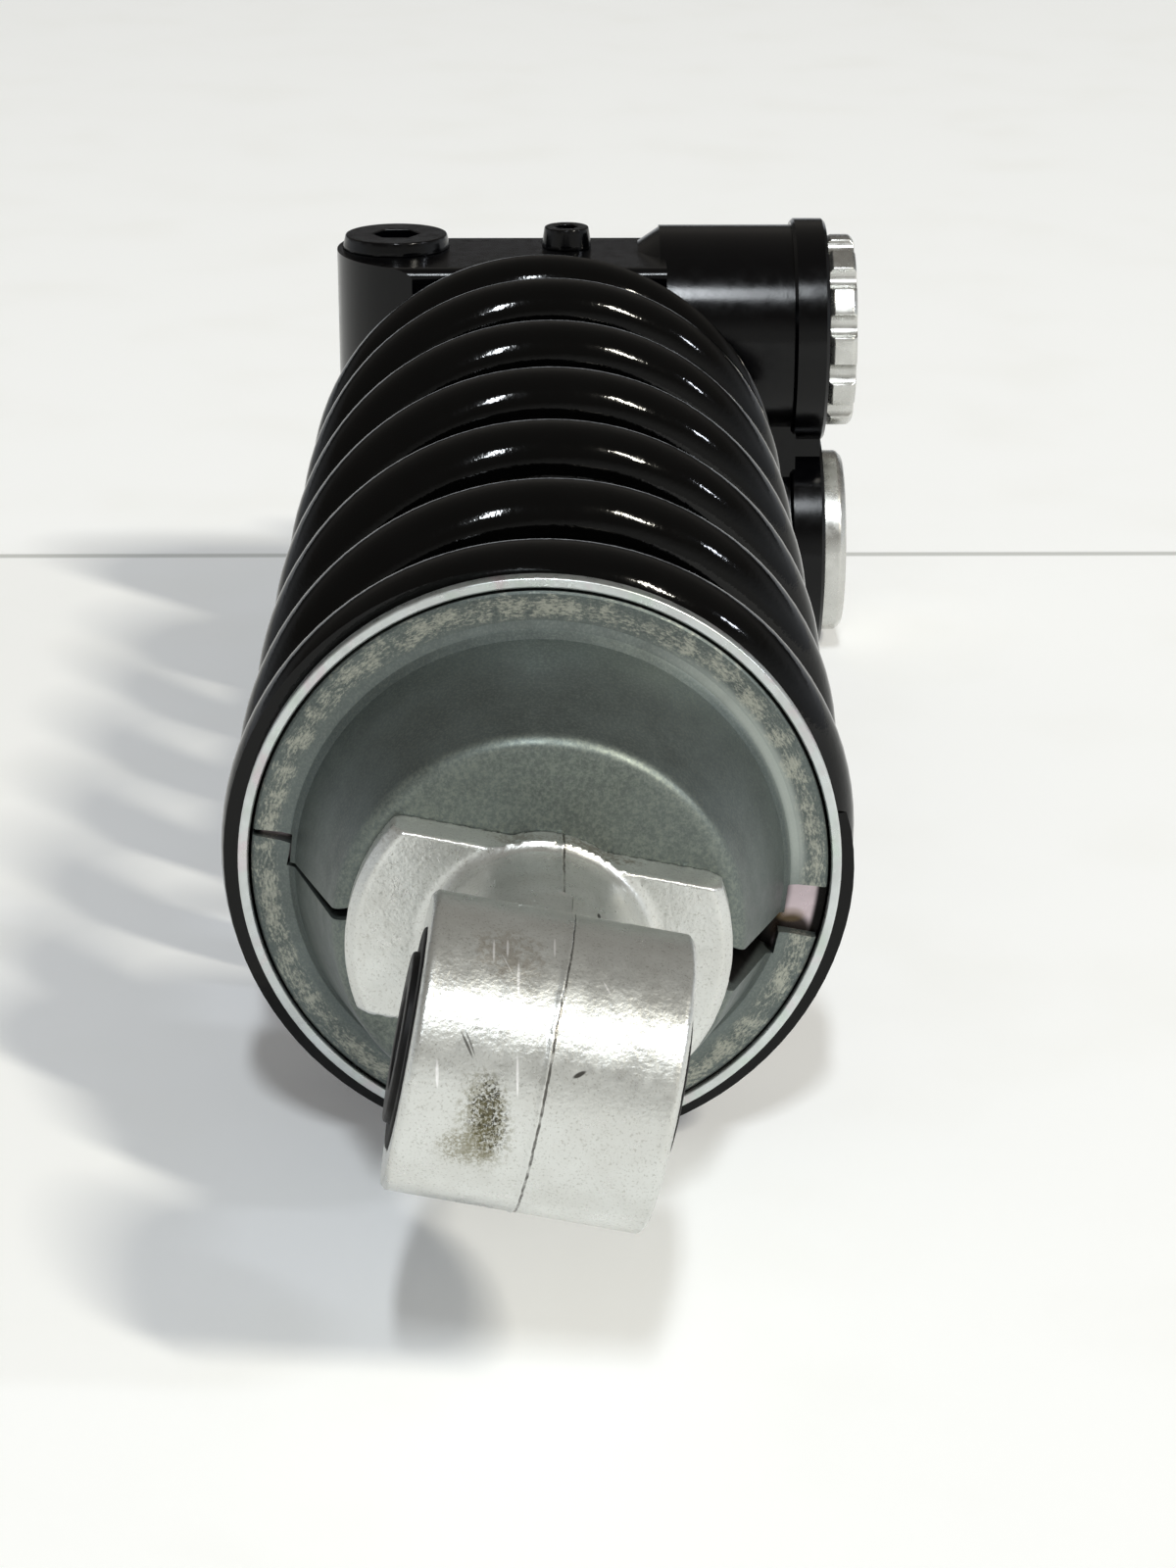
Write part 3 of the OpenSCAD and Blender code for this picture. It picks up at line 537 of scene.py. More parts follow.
@dataclass(frozen=True)
class Turned(Finish):
    """A lathe-turned face: fine rings about the piece's own axis that spread each light into a fan.

    Real turning leaves a ring every 0.1 mm or so, too fine to show here, so they are drawn coarser.
    """

    centre: Point = (0.0, 0.0, 0.0)
    pitch_mm: float = 0.35

    # Width of one band of the wave texture at a scale of one
    band = 0.314

    def height(self, paint: Paint) -> Socket:
        """Cuts fine rings about the axis.

        Args:
            paint: the material that is being built.

        Returns:
            The height, in units of the finish's own relief.
        """
        rings = add_node(paint.tree, "ShaderNodeTexWave",
                         {"Vector": paint.moved(self.centre, (1 / MM,) * 3),
                          "Scale": self.band / (self.pitch_mm * MM), "Distortion": 0.6, "Detail": 2.0},
                         wave_type="RINGS", rings_direction="X")
        return rings.outputs["Fac"]


@dataclass(frozen=True)
class Foam(Finish):
    """Closed-cell polyurethane: matt, full of small round pores."""

    pore_mm: float = 0.8

    def height(self, paint: Paint) -> Socket:
        """Opens small pores.

        Args:
            paint: the material that is being built.

        Returns:
            The height, in units of the finish's own relief.
        """
        return paint.remap(paint.cells(self.pore_mm), 0.1, 0.5)


DARK, OLIVE, BRIGHT = "2B2620", "6E6846", "FFFFFF"
MOUNT_GRIME_AND_SHADE = (
    Blot((-5.4, -17.5, 1.2), (2.9, 3.0, 6.6), tint="2F2B1C", strength=0.95, speckle_mm=0.38),
    Blot((-5.8, -17.4, 0.6), (4.2, 4.0, 8.5), tint=OLIVE, strength=0.5, speckle_mm=0.7),
    Blot((-8.0, -17.0, -2.6), (4.2, 4.0, 3.4), tint=OLIVE, strength=0.6, speckle_mm=0.4),
    Blot((-3.0, -7.4, 16.8), (6.0, 5.0, 5.0), tint="8C7B62", strength=0.35, speckle_mm=0.9),
    Blot((-7.65, -15.7, 9.33), (0.15, 0.8, 1.9), (1.1, -1.0, -2.4), DARK, 0.75),
    Blot((-7.27, -15.6, 9.51), (0.12, 0.8, 1.8), (1.0, -1.1, -2.4), DARK, 0.6),
    Blot((4.85, -16.2, 5.8), (0.14, 0.8, 1.0), (1.2, 0.3, 0.6), DARK),
    Blot((7.3, 15.4, 11.7), (0.3, 1.0, 0.3), tint=DARK),
    Blot((-1.94, -10.2, 14.9), (0.2, 0.8, 2.6), (0.0, -2.7, -2.0), BRIGHT),
    Blot((-2.04, -16.6, 5.9), (0.18, 0.8, 2.8), (0.0, -1.3, -4.2), BRIGHT),
    Blot((-10.9, -17.0, 6.4), (0.22, 0.8, 1.9), (0.0, -0.6, -2.5), BRIGHT),
    Blot((-3.17, -6.8, 17.1), (0.18, 0.8, 1.6), (0.0, -2.0, -0.9), BRIGHT),
    Blot((2.1, -5.4, 16.6), (0.16, 0.8, 1.9), (0.0, -2.7, -0.9), BRIGHT),
    Blot((-4.7, -7.4, 17.1), (0.16, 0.8, 1.9), (0.0, -2.4, -1.1), BRIGHT),
    Blot((7.95, -9.6, 13.4), (0.15, 0.8, 1.1), (0.5, -0.8, -0.6), BRIGHT),
    Blot((-3.3, -8.7, 15.7), (0.12, 0.8, 2.2), (3.9, -7.0, -4.9), BRIGHT, 0.6),
    # Painted shade with some dirt: a thin near-black line along the flange's edge where it meets the collar's
    # crown
    Blot((2.5, 38.2, 12.5), (0.9, 0.9, 26.0), (0.981, 0.0, -0.196), "17130F", 0.9, speckle_mm=0.9),
    Blot((7.5, 36.0, 12.0), (2.6, 3.4, 8.0), (0.981, 0.0, -0.196), "6E5A3C", 0.6, speckle_mm=0.7),
    Blot((-2.5, 36.0, 13.4), (2.2, 3.0, 5.0), (0.981, 0.0, -0.196), "6E5A3C", 0.45, speckle_mm=0.6),
)
CUP_FLOOR_PATCHES = (
    # A dark brown patch on the cup floor beside the lower collar half's end, with a golden-brown patch at its
    # edge
    Blot((33.4, 62.4, -9.6), (3.4, 3.0, 2.8), tint="1E150D", strength=0.95),
    Blot((33.3, 62.4, -7.6), (2.4, 2.0, 1.3), tint="6B5A3A", strength=0.4),
)
FINISHES = {
    f.slot: f for f in (
        # Cast aluminium, blasted with fine steel shot: pale satin, lights spread wide, sparkling at the rim
        ShotBlastCast("cast_silver", "shot_blasted_cast_aluminium", "D6D8D5", "CCCDC9", 0.85, (0.27, 0.36),
                      relief_mm=0.045, marks=MOUNT_GRIME_AND_SHADE),
        # Dark die-cast alloy, blasted and worn: a dull grey metal sheen, never a sharp light
        CollarCast("cast_grey", "blasted_dark_die_casting", "5B6362", "525958", 0.75, (0.40, 0.50),
                   patch_mm=9.0, grain_mm=0.4, relief_mm=0.012),
        # Pressed steel, bright zinc plated: smooth pale metal, a little milky
        BrightZinc("zinc_plate", "bright_zinc_plated_steel", "CDD2D2", "C0C4C3", 0.85, (0.26, 0.38),
                   patch_mm=4.0, grain_mm=0.4, marks=CUP_FLOOR_PATCHES),
        # Spring steel under black powder coat: deep black with small sharp lights, beaded by its orange peel
        Finish("spring_black", "gloss_black_powder_coat", "020202", "030303", 0.0, (0.06, 0.09), grain_mm=0.9,
               relief_mm=0.022, shine=0.22),
        # Cast aluminium, painted satin black: one soft band of light along each barrel
        Finish("head_black", "satin_black_painted_aluminium", "010102", "020203", 0.0, (0.14, 0.20),
               grain_mm=0.4, relief_mm=0.005, shine=0.24),
        # Turned aluminium, black anodised: dark with a metal glow
        Finish("black_anodised", "black_anodised_aluminium", "0E0E10", "141416", 0.5, (0.28, 0.40),
               relief_mm=0.004),
        # Drawn steel tube, black oxide and oil: dark satin
        Finish("tube_black", "black_oxide_steel_tube", "141416", "1B1B1D", 0.5, (0.30, 0.42),
               relief_mm=0.004),
        # Ground hard chrome: a clear mirror, faintly blue
        Finish("chrome_rod", "ground_hard_chrome", "D6D7DA", "CDCED2", 1.0, (0.05, 0.09), grain_mm=0.25,
               relief_mm=0.001),
        # Aluminium bar, turned on a lathe: pale, its lights fan out across the rings
        Turned("machined_silver", "lathe_turned_aluminium", "CFCFCB", "C3C3BF", 0.95, (0.22, 0.34),
               relief_mm=0.01, centre=(0.0, 290.0, 19.3)),
        Turned("cap_silver", "lathe_turned_aluminium_cap", "CFCFCB", "C3C3BF", 0.95, (0.22, 0.34),
               relief_mm=0.01, centre=(0.0, 290.0, -22.5)),
        # Bearing steel, ground and polished: clean grey metal with fine rings
        Turned("bearing_steel", "ground_bearing_steel", "A9AAAC", "9B9C9F", 1.0, (0.20, 0.32),
               relief_mm=0.005),
        # Turned steel, oil blacked: nearly black, dull
        Finish("black_oxide", "oil_blacked_turned_steel", "0D0C0C", "141313", 0.1, (0.45, 0.6),
               relief_mm=0.004, shine=0.3),
        # Nitrile rubber from a mould: matt black
        Finish("black_rubber", "moulded_nitrile_rubber", "0A0A0A", "101010", 0.0, (0.60, 0.75), grain_mm=0.6,
               relief_mm=0.02, shine=0.25),
        # Microcellular polyurethane, cast: matt amber with open pores
        Foam("bump_foam", "cast_polyurethane_foam", "B48A3A", "9C7630", 0.0, (0.62, 0.80), relief_mm=0.08),
        # Oil-filled sintered bronze: warm, dull gold
        Finish("bronze", "sintered_bronze", "B89452", "A5823F", 0.95, (0.24, 0.36), relief_mm=0.004),
        # Moulded nylon: ivory, waxy
        Finish("nylon", "moulded_nylon", "DAD6C4", "CFCAB6", 0.0, (0.40, 0.52), relief_mm=0.004),
    )
}


class Wardrobe:
    """Builds each finish once and hands it out by slot."""

    def __init__(self) -> None:
        """Starts with no materials made."""
        self.made: dict[str, bpy.types.Material] = {}
        self.slots = {s["node"]: s["material_slot"] for s in frame["record"]["subparts"]}

    def finish(self, slot: str) -> bpy.types.Material:
        """Gives the material of a slot, and builds it the first time.

        Args:
            slot: the record's slot.

        Returns:
            The material.
        """
        if slot not in self.made:
            self.made[slot] = FINISHES[slot].material()
        return self.made[slot]

    def dress(self, obj: bpy.types.Object, slot: str) -> None:
        """Puts one finish on a piece."""
        obj.data.materials.clear()
        obj.data.materials.append(self.finish(slot))

    def dress_nodes(self) -> None:
        """Puts the finish of its record's slot on every CAD node."""
        for name, obj in frame["nodes"].items():
            for place in obj.material_slots:
                place.material = self.finish(self.slots[name])


WARDROBE = Wardrobe()


def merged_copy(node: str) -> bmesh.types.BMesh:
    """Copies a CAD node's skin, joined up and with its flat faces made whole.

    Args:
        node: the CAD node's name.

    Returns:
        The copy.
    """
    bm = bmesh.new()
    bm.from_mesh(frame["nodes"][node].data)
    bmesh.ops.remove_doubles(bm, verts=bm.verts, dist=1e-6)
    bmesh.ops.dissolve_limit(bm, angle_limit=math.radians(0.4), verts=bm.verts, edges=bm.edges)
    return bm


def soften(bm: bmesh.types.BMesh, width_mm: float, segments: int = 2, above_deg: float = 28.0) -> None:
    """Rounds the sharp edges of a piece.

    Args:
        bm: the piece.
        width_mm: the width of the rounding on each side of an edge.
        segments: the faces across it.
        above_deg: how far two faces turn from each other before their edge counts as sharp.
    """
    limit = math.radians(above_deg)
    sharp = [e for e in bm.edges if len(e.link_faces) == 2 and e.calc_face_angle(0.0) > limit]
    bmesh.ops.bevel(bm, geom=sharp, offset=width_mm * MM, offset_type="OFFSET", affect="EDGES",
                    segments=segments, profile=0.5, material=-1, clamp_overlap=True)


def turned(profile: Sequence[tuple[float, float]], steps: int = 128) -> bmesh.types.BMesh:
    """Spins a closed profile about the damper's axis.

    Args:
        profile: the profile's corners as radius and station, in mm, in order.
        steps: the faces round it.

    Returns:
        The turned piece.
    """
    bm = bmesh.new()
    corners = [bm.verts.new((0.0, station * MM, radius * MM)) for radius, station in profile]
    edges = [bm.edges.new((a, b)) for a, b in zip(corners, corners[1:] + corners[:1])]
    bmesh.ops.spin(bm, geom=corners + edges, cent=(0, 0, 0), axis=(0, 1, 0), dvec=(0, 0, 0),
                   angle=math.tau, steps=steps, use_merge=True, use_duplicate=False)
    bmesh.ops.remove_doubles(bm, verts=bm.verts, dist=1e-6)
    bmesh.ops.recalc_face_normals(bm, faces=bm.faces)
    return bm


def plain_object(bm: bmesh.types.BMesh, name: str) -> bpy.types.Object:
    """Makes an undressed object.

    Args:
        bm: the mesh, which is used up.
        name: the object's name.

    Returns:
        The object, at the origin.
    """
    mesh = bpy.data.meshes.new(name)
    bm.to_mesh(mesh)
    bm.free()
    obj = bpy.data.objects.new(name, mesh)
    bpy.context.scene.collection.objects.link(obj)
    return obj


def finished(bm: bmesh.types.BMesh, name: str, slot: str, smooth_deg: float = 35.0,
             even_normals: bool = True) -> bpy.types.Object:
    """Makes a piece's object from its mesh, shaded and dressed.

    Args:
        bm: the mesh, which is used up.
        name: the piece's name.
        slot: the record's slot that its finish comes from.
        smooth_deg: edges sharper than this stay sharp.
        even_normals: whether large flat faces keep their own normals beside rounded edges.

    Returns:
        The object, at the origin.
    """
    obj = plain_object(bm, name)
    mesh = obj.data
    mesh.shade_smooth()
    mesh.set_sharp_from_angle(angle=math.radians(smooth_deg))
    WARDROBE.dress(obj, slot)
    if even_normals:
        obj.modifiers.new("even", "WEIGHTED_NORMAL").keep_sharp = True
    LOG.info("%s: %d faces", name, len(mesh.polygons))
    return obj


def applied(obj: bpy.types.Object) -> bmesh.types.BMesh:
    """Works out an object's modifiers and takes the object away.

    Args:
        obj: the object.

    Returns:
        Its mesh with the modifiers worked in.
    """
    graph = bpy.context.evaluated_depsgraph_get()
    mesh = obj.evaluated_get(graph).to_mesh()
    bm = bmesh.new()
    bm.from_mesh(mesh)
    bpy.data.objects.remove(obj)
    return bm


@dataclass
class Spring:
    """The coil spring: right-hand, closed ends ground flat on their seats, glossy black coat.

    Cut along two planes: its lowest turn rides with the cup, its middle with the damper, its top stays put.
    """

    coil_r: float = 36.25
    wire_r: float = 6.25
    start: float = 63.8
    length: float = 185.2
    turns: float = 7.09
    flat_low: float = 0.905
    flat_high: float = 6.203
    ramp: float = 0.15
    tip_angle: float = 9.0
    end_drop: float = 9.2
    tip_dip: float = 1.0
    tip_turn: float = 0.05
    steps: int = 96
    sides: int = 32
    low_cut: float = 77.0
    high_cut: float = 205.0
    stroke: float = 60.0

    def rise(self, turn: float) -> float:
        """Works out how high the wire's middle has climbed.

        Args:
            turn: the turns wound so far.

        Returns:
            Its height, in mm.
        """
        pitch = (self.length - 2 * self.wire_r) / (self.flat_high - self.flat_low)

        def bent(past: float) -> float:
            """Starts a slope softly.

            Args:
                past: the turns since the slope's start.

            Returns:
                The turns that count towards the climb.
            """
            if past <= -self.ramp:
                return 0.0
            return past if past >= self.ramp else (past + self.ramp) ** 2 / (4 * self.ramp)

        def sunk(left: float) -> float:
            """Sinks an end turn into its seat, where it is ground away."""
            tip = self.tip_dip * max(0.0, 1 - left / self.tip_turn) ** 2
            return self.end_drop * max(0.0, 1 - left / self.flat_low) + tip

        middle = self.start + self.wire_r + pitch * (bent(turn - self.flat_low) - bent(turn - self.flat_high))
        return middle - sunk(turn) + sunk(self.turns - turn)

    def wire(self) -> bmesh.types.BMesh:
        """Sweeps the wire's round section along the coil, step by step.

        Returns:
            The whole closed wire.
        """
        bm = bmesh.new()
        at_start = Matrix.Rotation(math.radians(-self.tip_angle), 4, "Y")
        place = at_start @ Matrix.Translation((self.coil_r * MM, self.rise(0.0) * MM, 0.0))
        ring = bmesh.ops.create_circle(bm, cap_ends=True, cap_tris=False, segments=self.sides,
                                       radius=self.wire_r * MM, matrix=place)["verts"]
        geom: list = [*ring, *ring[0].link_faces[0].edges, ring[0].link_faces[0]]
        total = round(self.turns * self.steps)
        for step in range(total):
            climb = self.rise((step + 1) * self.turns / total) - self.rise(step * self.turns / total)
            geom = bmesh.ops.spin(bm, geom=geom, cent=(0, 0, 0), axis=(0, 1, 0), dvec=(0, climb * MM, 0),
                                  angle=math.tau * self.turns / total, steps=1, use_merge=False,
                                  use_duplicate=False)["geom_last"]
        bmesh.ops.remove_doubles(bm, verts=bm.verts, dist=1e-7)
        bmesh.ops.recalc_face_normals(bm, faces=bm.faces)
        return bm

    def slice(self, wire: bmesh.types.BMesh, low: float, high: float) -> bmesh.types.BMesh:
        """Keeps what lies between two heights.

        Args:
            wire: the whole wire.
            low: the lower height, in mm.
            high: the upper height, in mm.

        Returns:
            The slice, closed at its cuts.
        """
        bm = wire.copy()
        for height, above in ((low, False), (high, True)):
            cut = bmesh.ops.bisect_plane(bm, geom=[*bm.verts, *bm.edges, *bm.faces], dist=1e-8,
                                         plane_co=(0, height * MM, 0), plane_no=(0, 1, 0),
                                         clear_outer=above, clear_inner=not above)["geom_cut"]
            bmesh.ops.holes_fill(bm, edges=[e for e in cut if isinstance(e, bmesh.types.BMEdge)], sides=0)
        return bm

    def build(self) -> None:
        """Makes the three slices; the lowest rides with the cup, the middle with the damper, the top stays
        put.
        """
        wire = self.wire()
        cuts = (self.start, self.low_cut, self.high_cut, self.start + self.length)
        foot, middle, top = (
            finished(self.slice(wire, low, high), name, "spring_black", even_normals=False)
            for name, low, high in zip(("spring_foot", "spring_coils", "spring_top"), cuts, cuts[1:]))
        wire.free()
        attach(foot, Body.LOWER_SEAT.value)
        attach(middle, Body.DAMPER.value)
        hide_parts("spring")
        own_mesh(middle)
        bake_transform(top)


@dataclass
class LowerMount:
    """The lower mount: one shot-blasted casting with a parting line down its middle."""

    roll: float = 11.3
    corner: float = 0.9
    voxel: float = 0.4
    line_height: float = 0.16
    line_half: float = 0.55
    line_core: float = 0.2
    groove: tuple[float, float] = (0.14, 0.36)
    groove_depth: float = 0.06
    slack: float = 0.02
    drift_reach: float = 4.0
    line_path: tuple[tuple[float, float], ...] = ((-13.9, 0.0), (-6.9, 0.6), (17.7, 1.5), (18.6, 0.25))
    dent_height: float = 0.02
    dent_size: float = 2.4
    bore_r: float = 14.0
    rod_hole_r: float = 8.0

    def casting(self) -> bmesh.types.BMesh:
        """Gives the casting an even skin of small faces that follows its rounded edges.

        Returns:
            The casting without its parting line.
        """
        bm = merged_copy("lower_mount")
        soften(bm, self.corner, segments=3, above_deg=30.0)
        skin = plain_object(bm.copy(), "lower_mount_skin")
        form = plain_object(bm, "lower_mount_form")
        remesh = skin.modifiers.new("even", "REMESH")
        remesh.mode = "VOXEL"
        remesh.voxel_size = self.voxel * MM
        for name, rounds in (("loosen", 4), ("settle", 1)):
            smooth = skin.modifiers.new(name, "SMOOTH")
            smooth.factor = 0.5
            smooth.iterations = rounds
            wrap = skin.modifiers.new(f"{name}_back", "SHRINKWRAP")
            wrap.target = form
        cast = applied(skin)
        bpy.data.objects.remove(form)
        return cast

    def offset(self, y: float, z: float) -> float:
        """Reads off line_path how far the parting line wanders from the middle.

        Args:
            y: the place along the damper, in mm.
            z: the height in the mount's own frame, in mm.

        Returns:
            The distance, in mm; none on the mount's underside.
        """
        if z < 0 or y <= self.line_path[0][0]:
            return 0.0
        for (y0, off0), (y1, off1) in zip(self.line_path, self.line_path[1:]):
            if y <= y1:
                return off0 + (off1 - off0) * (y - y0) / (y1 - y0)
        return self.line_path[-1][1]

    @staticmethod
    def wobble(y: float, z: float, seed: float, rate: float) -> float:
        """Gives even noise over the casting's middle plane, from about -1 to 1."""
        return noise.noise(Vector((y, z, seed)) * rate)

    def add_parting_line(self, bm: bmesh.types.BMesh) -> None:
        """Raises the line where the halves of the mould met, with a fine groove at its foot.

        Args:
            bm: the casting.
        """
        turn = Matrix.Rotation(math.radians(self.roll), 3, "Y")
        side = turn @ Vector((1.0, 0.0, 0.0))
        for across in (-self.line_half, -self.line_core, 0.0, *self.groove, self.line_half):
            bmesh.ops.bisect_plane(bm, geom=[*bm.verts, *bm.edges, *bm.faces], dist=1e-7,
                                   plane_co=side * across * MM, plane_no=side)
        bm.normal_update()
        seam = bm.verts.layers.float.new("seam")
        back = turn.transposed()
        for vert in bm.verts:
            x, y, z = (back @ vert.co) / MM
            if math.hypot(y, z) < self.bore_r or (y > 0 and math.hypot(x, z) < self.rod_hole_r):
                continue
            dent = self.dent_height * noise.noise(Vector((x, y, z)) / self.dent_size)
            drift = 0.0
            proud = 0.0
            if abs(x) < self.drift_reach:
                ragged = 0.06 * self.wobble(y, z, 3.0, 0.8) + 0.05 * self.wobble(y, z, 8.0, 2.3)
                drift = (self.offset(y, z) + ragged) * (1 - abs(x) / self.drift_reach) ** 2
                near = max(0.0, 1 - abs(x) / self.line_half)
                proud = self.line_height * near * (0.9 + 0.35 * self.wobble(y, z, 1.0, 1.1))
                if self.groove[0] - self.slack < x < self.groove[1] + self.slack:
                    vert[seam] = 1.0
                    proud -= self.groove_depth
            vert.co += (side * drift + vert.normal * (proud + dent)) * MM

    def build(self) -> None:
        """Makes the casting and lets it ride on the rod."""
        bm = self.casting()
        self.add_parting_line(bm)
        piece = finished(bm, "lower_mount_casting", "cast_silver", smooth_deg=70.0, even_normals=False)
        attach(piece, Body.ROD.value)
        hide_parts("lower_mount")


@dataclass
class EdgedPiece:
    """A rigid piece whose shape is the CAD's own, with its edges broken as the real one has them."""

    node: str
    body: Body
    edge: float = 0.25
    segments: int = 2
    slot: str = ""

    def shape(self) -> bmesh.types.BMesh:
        """Gives the piece's shape before its edges are broken."""
        return merged_copy(self.node)

    def build(self) -> None:
        """Takes the shape, breaks its edges and dresses it."""
        bm = self.shape()
        soften(bm, self.edge, self.segments)
        piece = finished(bm, f"{self.node}_piece", self.slot or WARDROBE.slots[self.node])
        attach(piece, self.body.value)
        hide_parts(self.node)


@dataclass
class CollarHalf(EdgedPiece):
    """One half of the collar, whose cone runs into its lip through a smooth hollow."""

    edge: float = 0.35
    segments: int = 3
    hollow: tuple[float, float] = (31.9, 34.4)
    hollow_end: float = 60.55
    hollow_depth: float = 1.8
    hollow_round: float = 0.7

    def in_hollow(self, place: Vector) -> bool:
        """Tells whether a place, in metres, lies in the hollow at the cone's foot."""
        near = self.hollow[0] < math.hypot(place.x, place.z) / MM < self.hollow[1]
        return near and self.hollow_end - self.hollow_depth < place.y / MM < self.hollow_end

    def shape(self) -> bmesh.types.BMesh:
        """Rounds the rings of the hollow into one another.

        Returns:
            The half with a smooth hollow.
        """
        bm = super().shape()
        rings = [e for e in bm.edges if all(self.in_hollow(v.co) for v in e.verts)
                 and abs(e.verts[0].co.y - e.verts[1].co.y) < 1e-5]
        bmesh.ops.bevel(bm, geom=rings, offset=self.hollow_round * MM, offset_type="OFFSET", affect="EDGES",
                        segments=4, profile=0.5, material=-1, clamp_overlap=True)
        return bm


@dataclass
class DamperTube:
    """The damper tube with its rolled-off mouth and the fine thread that the preload rings run on."""

    bore_r: float = 20.0
    out_r: float = 23.0
    crest_r: float = 24.5
    root_r: float = 23.4
    start: float = 134.9
    end: float = 272.2
    thread_start: float = 215.0
    thread_end: float = 264.6
    pitch: float = 2.0
    clip_y: float = 136.4
    clip_w: float = 1.5
    steps: int = 48

    def shell(self) -> bmesh.types.BMesh:
        """Turns the tube without its thread, with a groove for the retaining ring in its bore.

        Returns:
            The tube.
        """
        bm = turned([
            (self.bore_r, self.start), (self.out_r - 1, self.start), (self.out_r, self.start + 1),
            (self.out_r, self.thread_start - 1.5), (self.root_r, self.thread_start - 1.1),
            (self.root_r, self.thread_end), (self.out_r, self.thread_end + 0.2), (self.out_r, self.end),
            (self.bore_r, self.end), (self.bore_r, self.clip_y + self.clip_w),
            (self.bore_r + 1, self.clip_y + self.clip_w), (self.bore_r + 1, self.clip_y),
            (self.bore_r, self.clip_y)], steps=160)
        soften(bm, 0.15, 2)
        return bm

    def thread(self) -> bmesh.types.BMesh:
        """Winds the thread as one closed ridge.

        Returns:
            The ridge, closed at both ends.
        """
        bm = bmesh.new()
        half = self.pitch / 2
        first = self.thread_start + half
        corners = [bm.verts.new(Vector((r, y, 0.0)) * MM) for r, y in (
            (self.root_r - 0.4, first - half * 0.9), (self.crest_r, first - 0.15),
            (self.crest_r, first + 0.15), (self.root_r - 0.4, first + half * 0.9))]
        bm.faces.new(corners)
        turns = (self.thread_end - self.thread_start - self.pitch) / self.pitch
        total = round(turns * self.steps)
        bmesh.ops.spin(bm, geom=[*bm.verts, *bm.edges, *bm.faces], cent=(0, 0, 0), axis=(0, 1, 0),
                       dvec=(0, self.pitch * turns / total * MM, 0), angle=-math.tau * turns, steps=total,
                       use_merge=False, use_duplicate=False)
        bmesh.ops.recalc_face_normals(bm, faces=bm.faces)
        return bm

    def build(self) -> None:
        """Makes the tube and its thread."""
        shell = finished(self.shell(), "damper_tube_shell", "tube_black")
        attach(shell, Body.DAMPER.value)
        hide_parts("damper_tube")
        thread = finished(self.thread(), "damper_tube_thread", "tube_black", even_normals=False)
        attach(thread, Body.DAMPER.value)


EDGED = (
    CollarHalf("collar_upper_half", Body.ROD),
    CollarHalf("collar_lower_half", Body.ROD),
    EdgedPiece("seat_cup", Body.LOWER_SEAT, 0.3, 3),
    EdgedPiece("dust_seal_left", Body.ROD, 0.2),
    EdgedPiece("dust_seal_right", Body.ROD, 0.2),
    EdgedPiece("lower_sleeve", Body.LOWER_SLEEVE, 0.4),
    EdgedPiece("upper_sleeve", Body.UPPER_SLEEVE, 0.4),
    EdgedPiece("piston_rod", Body.ROD, 0.3),
    EdgedPiece("bump_stop", Body.ROD, 0.4),
    EdgedPiece("upper_seat", Body.SPRING_SEAT, 0.3),
    EdgedPiece("slip_washer", Body.SPRING_SEAT, 0.15),
    EdgedPiece("preload_ring", Body.PRELOAD_RINGS, 0.3),
    EdgedPiece("lock_ring", Body.PRELOAD_RINGS, 0.3),
    EdgedPiece("head", Body.DAMPER, 0.6, 3),
    EdgedPiece("compression_knob", Body.COMPRESSION_DIAL, 0.3, 3),
    EdgedPiece("high_speed_screw", Body.HIGH_SPEED_DIAL, 0.2),
    EdgedPiece("reservoir_cap", Body.DAMPER, 0.4, 3, "cap_silver"),
    EdgedPiece("gas_valve", Body.DAMPER, 0.2),
    EdgedPiece("filler_plug", Body.DAMPER, 0.25),
    EdgedPiece("bleed_screw", Body.DAMPER, 0.25),
    EdgedPiece("upper_bush_shell", Body.DAMPER, 0.2),
    EdgedPiece("upper_bush_rubber", Body.DAMPER, 0.5),
)


@dataclass
class Lamp:
    """One soft ceiling lamp, far away, whose long side runs up the ceiling."""

    name: str
    direction: Point
    width_m: float
    height_m: float
    watts: float
    tint: str


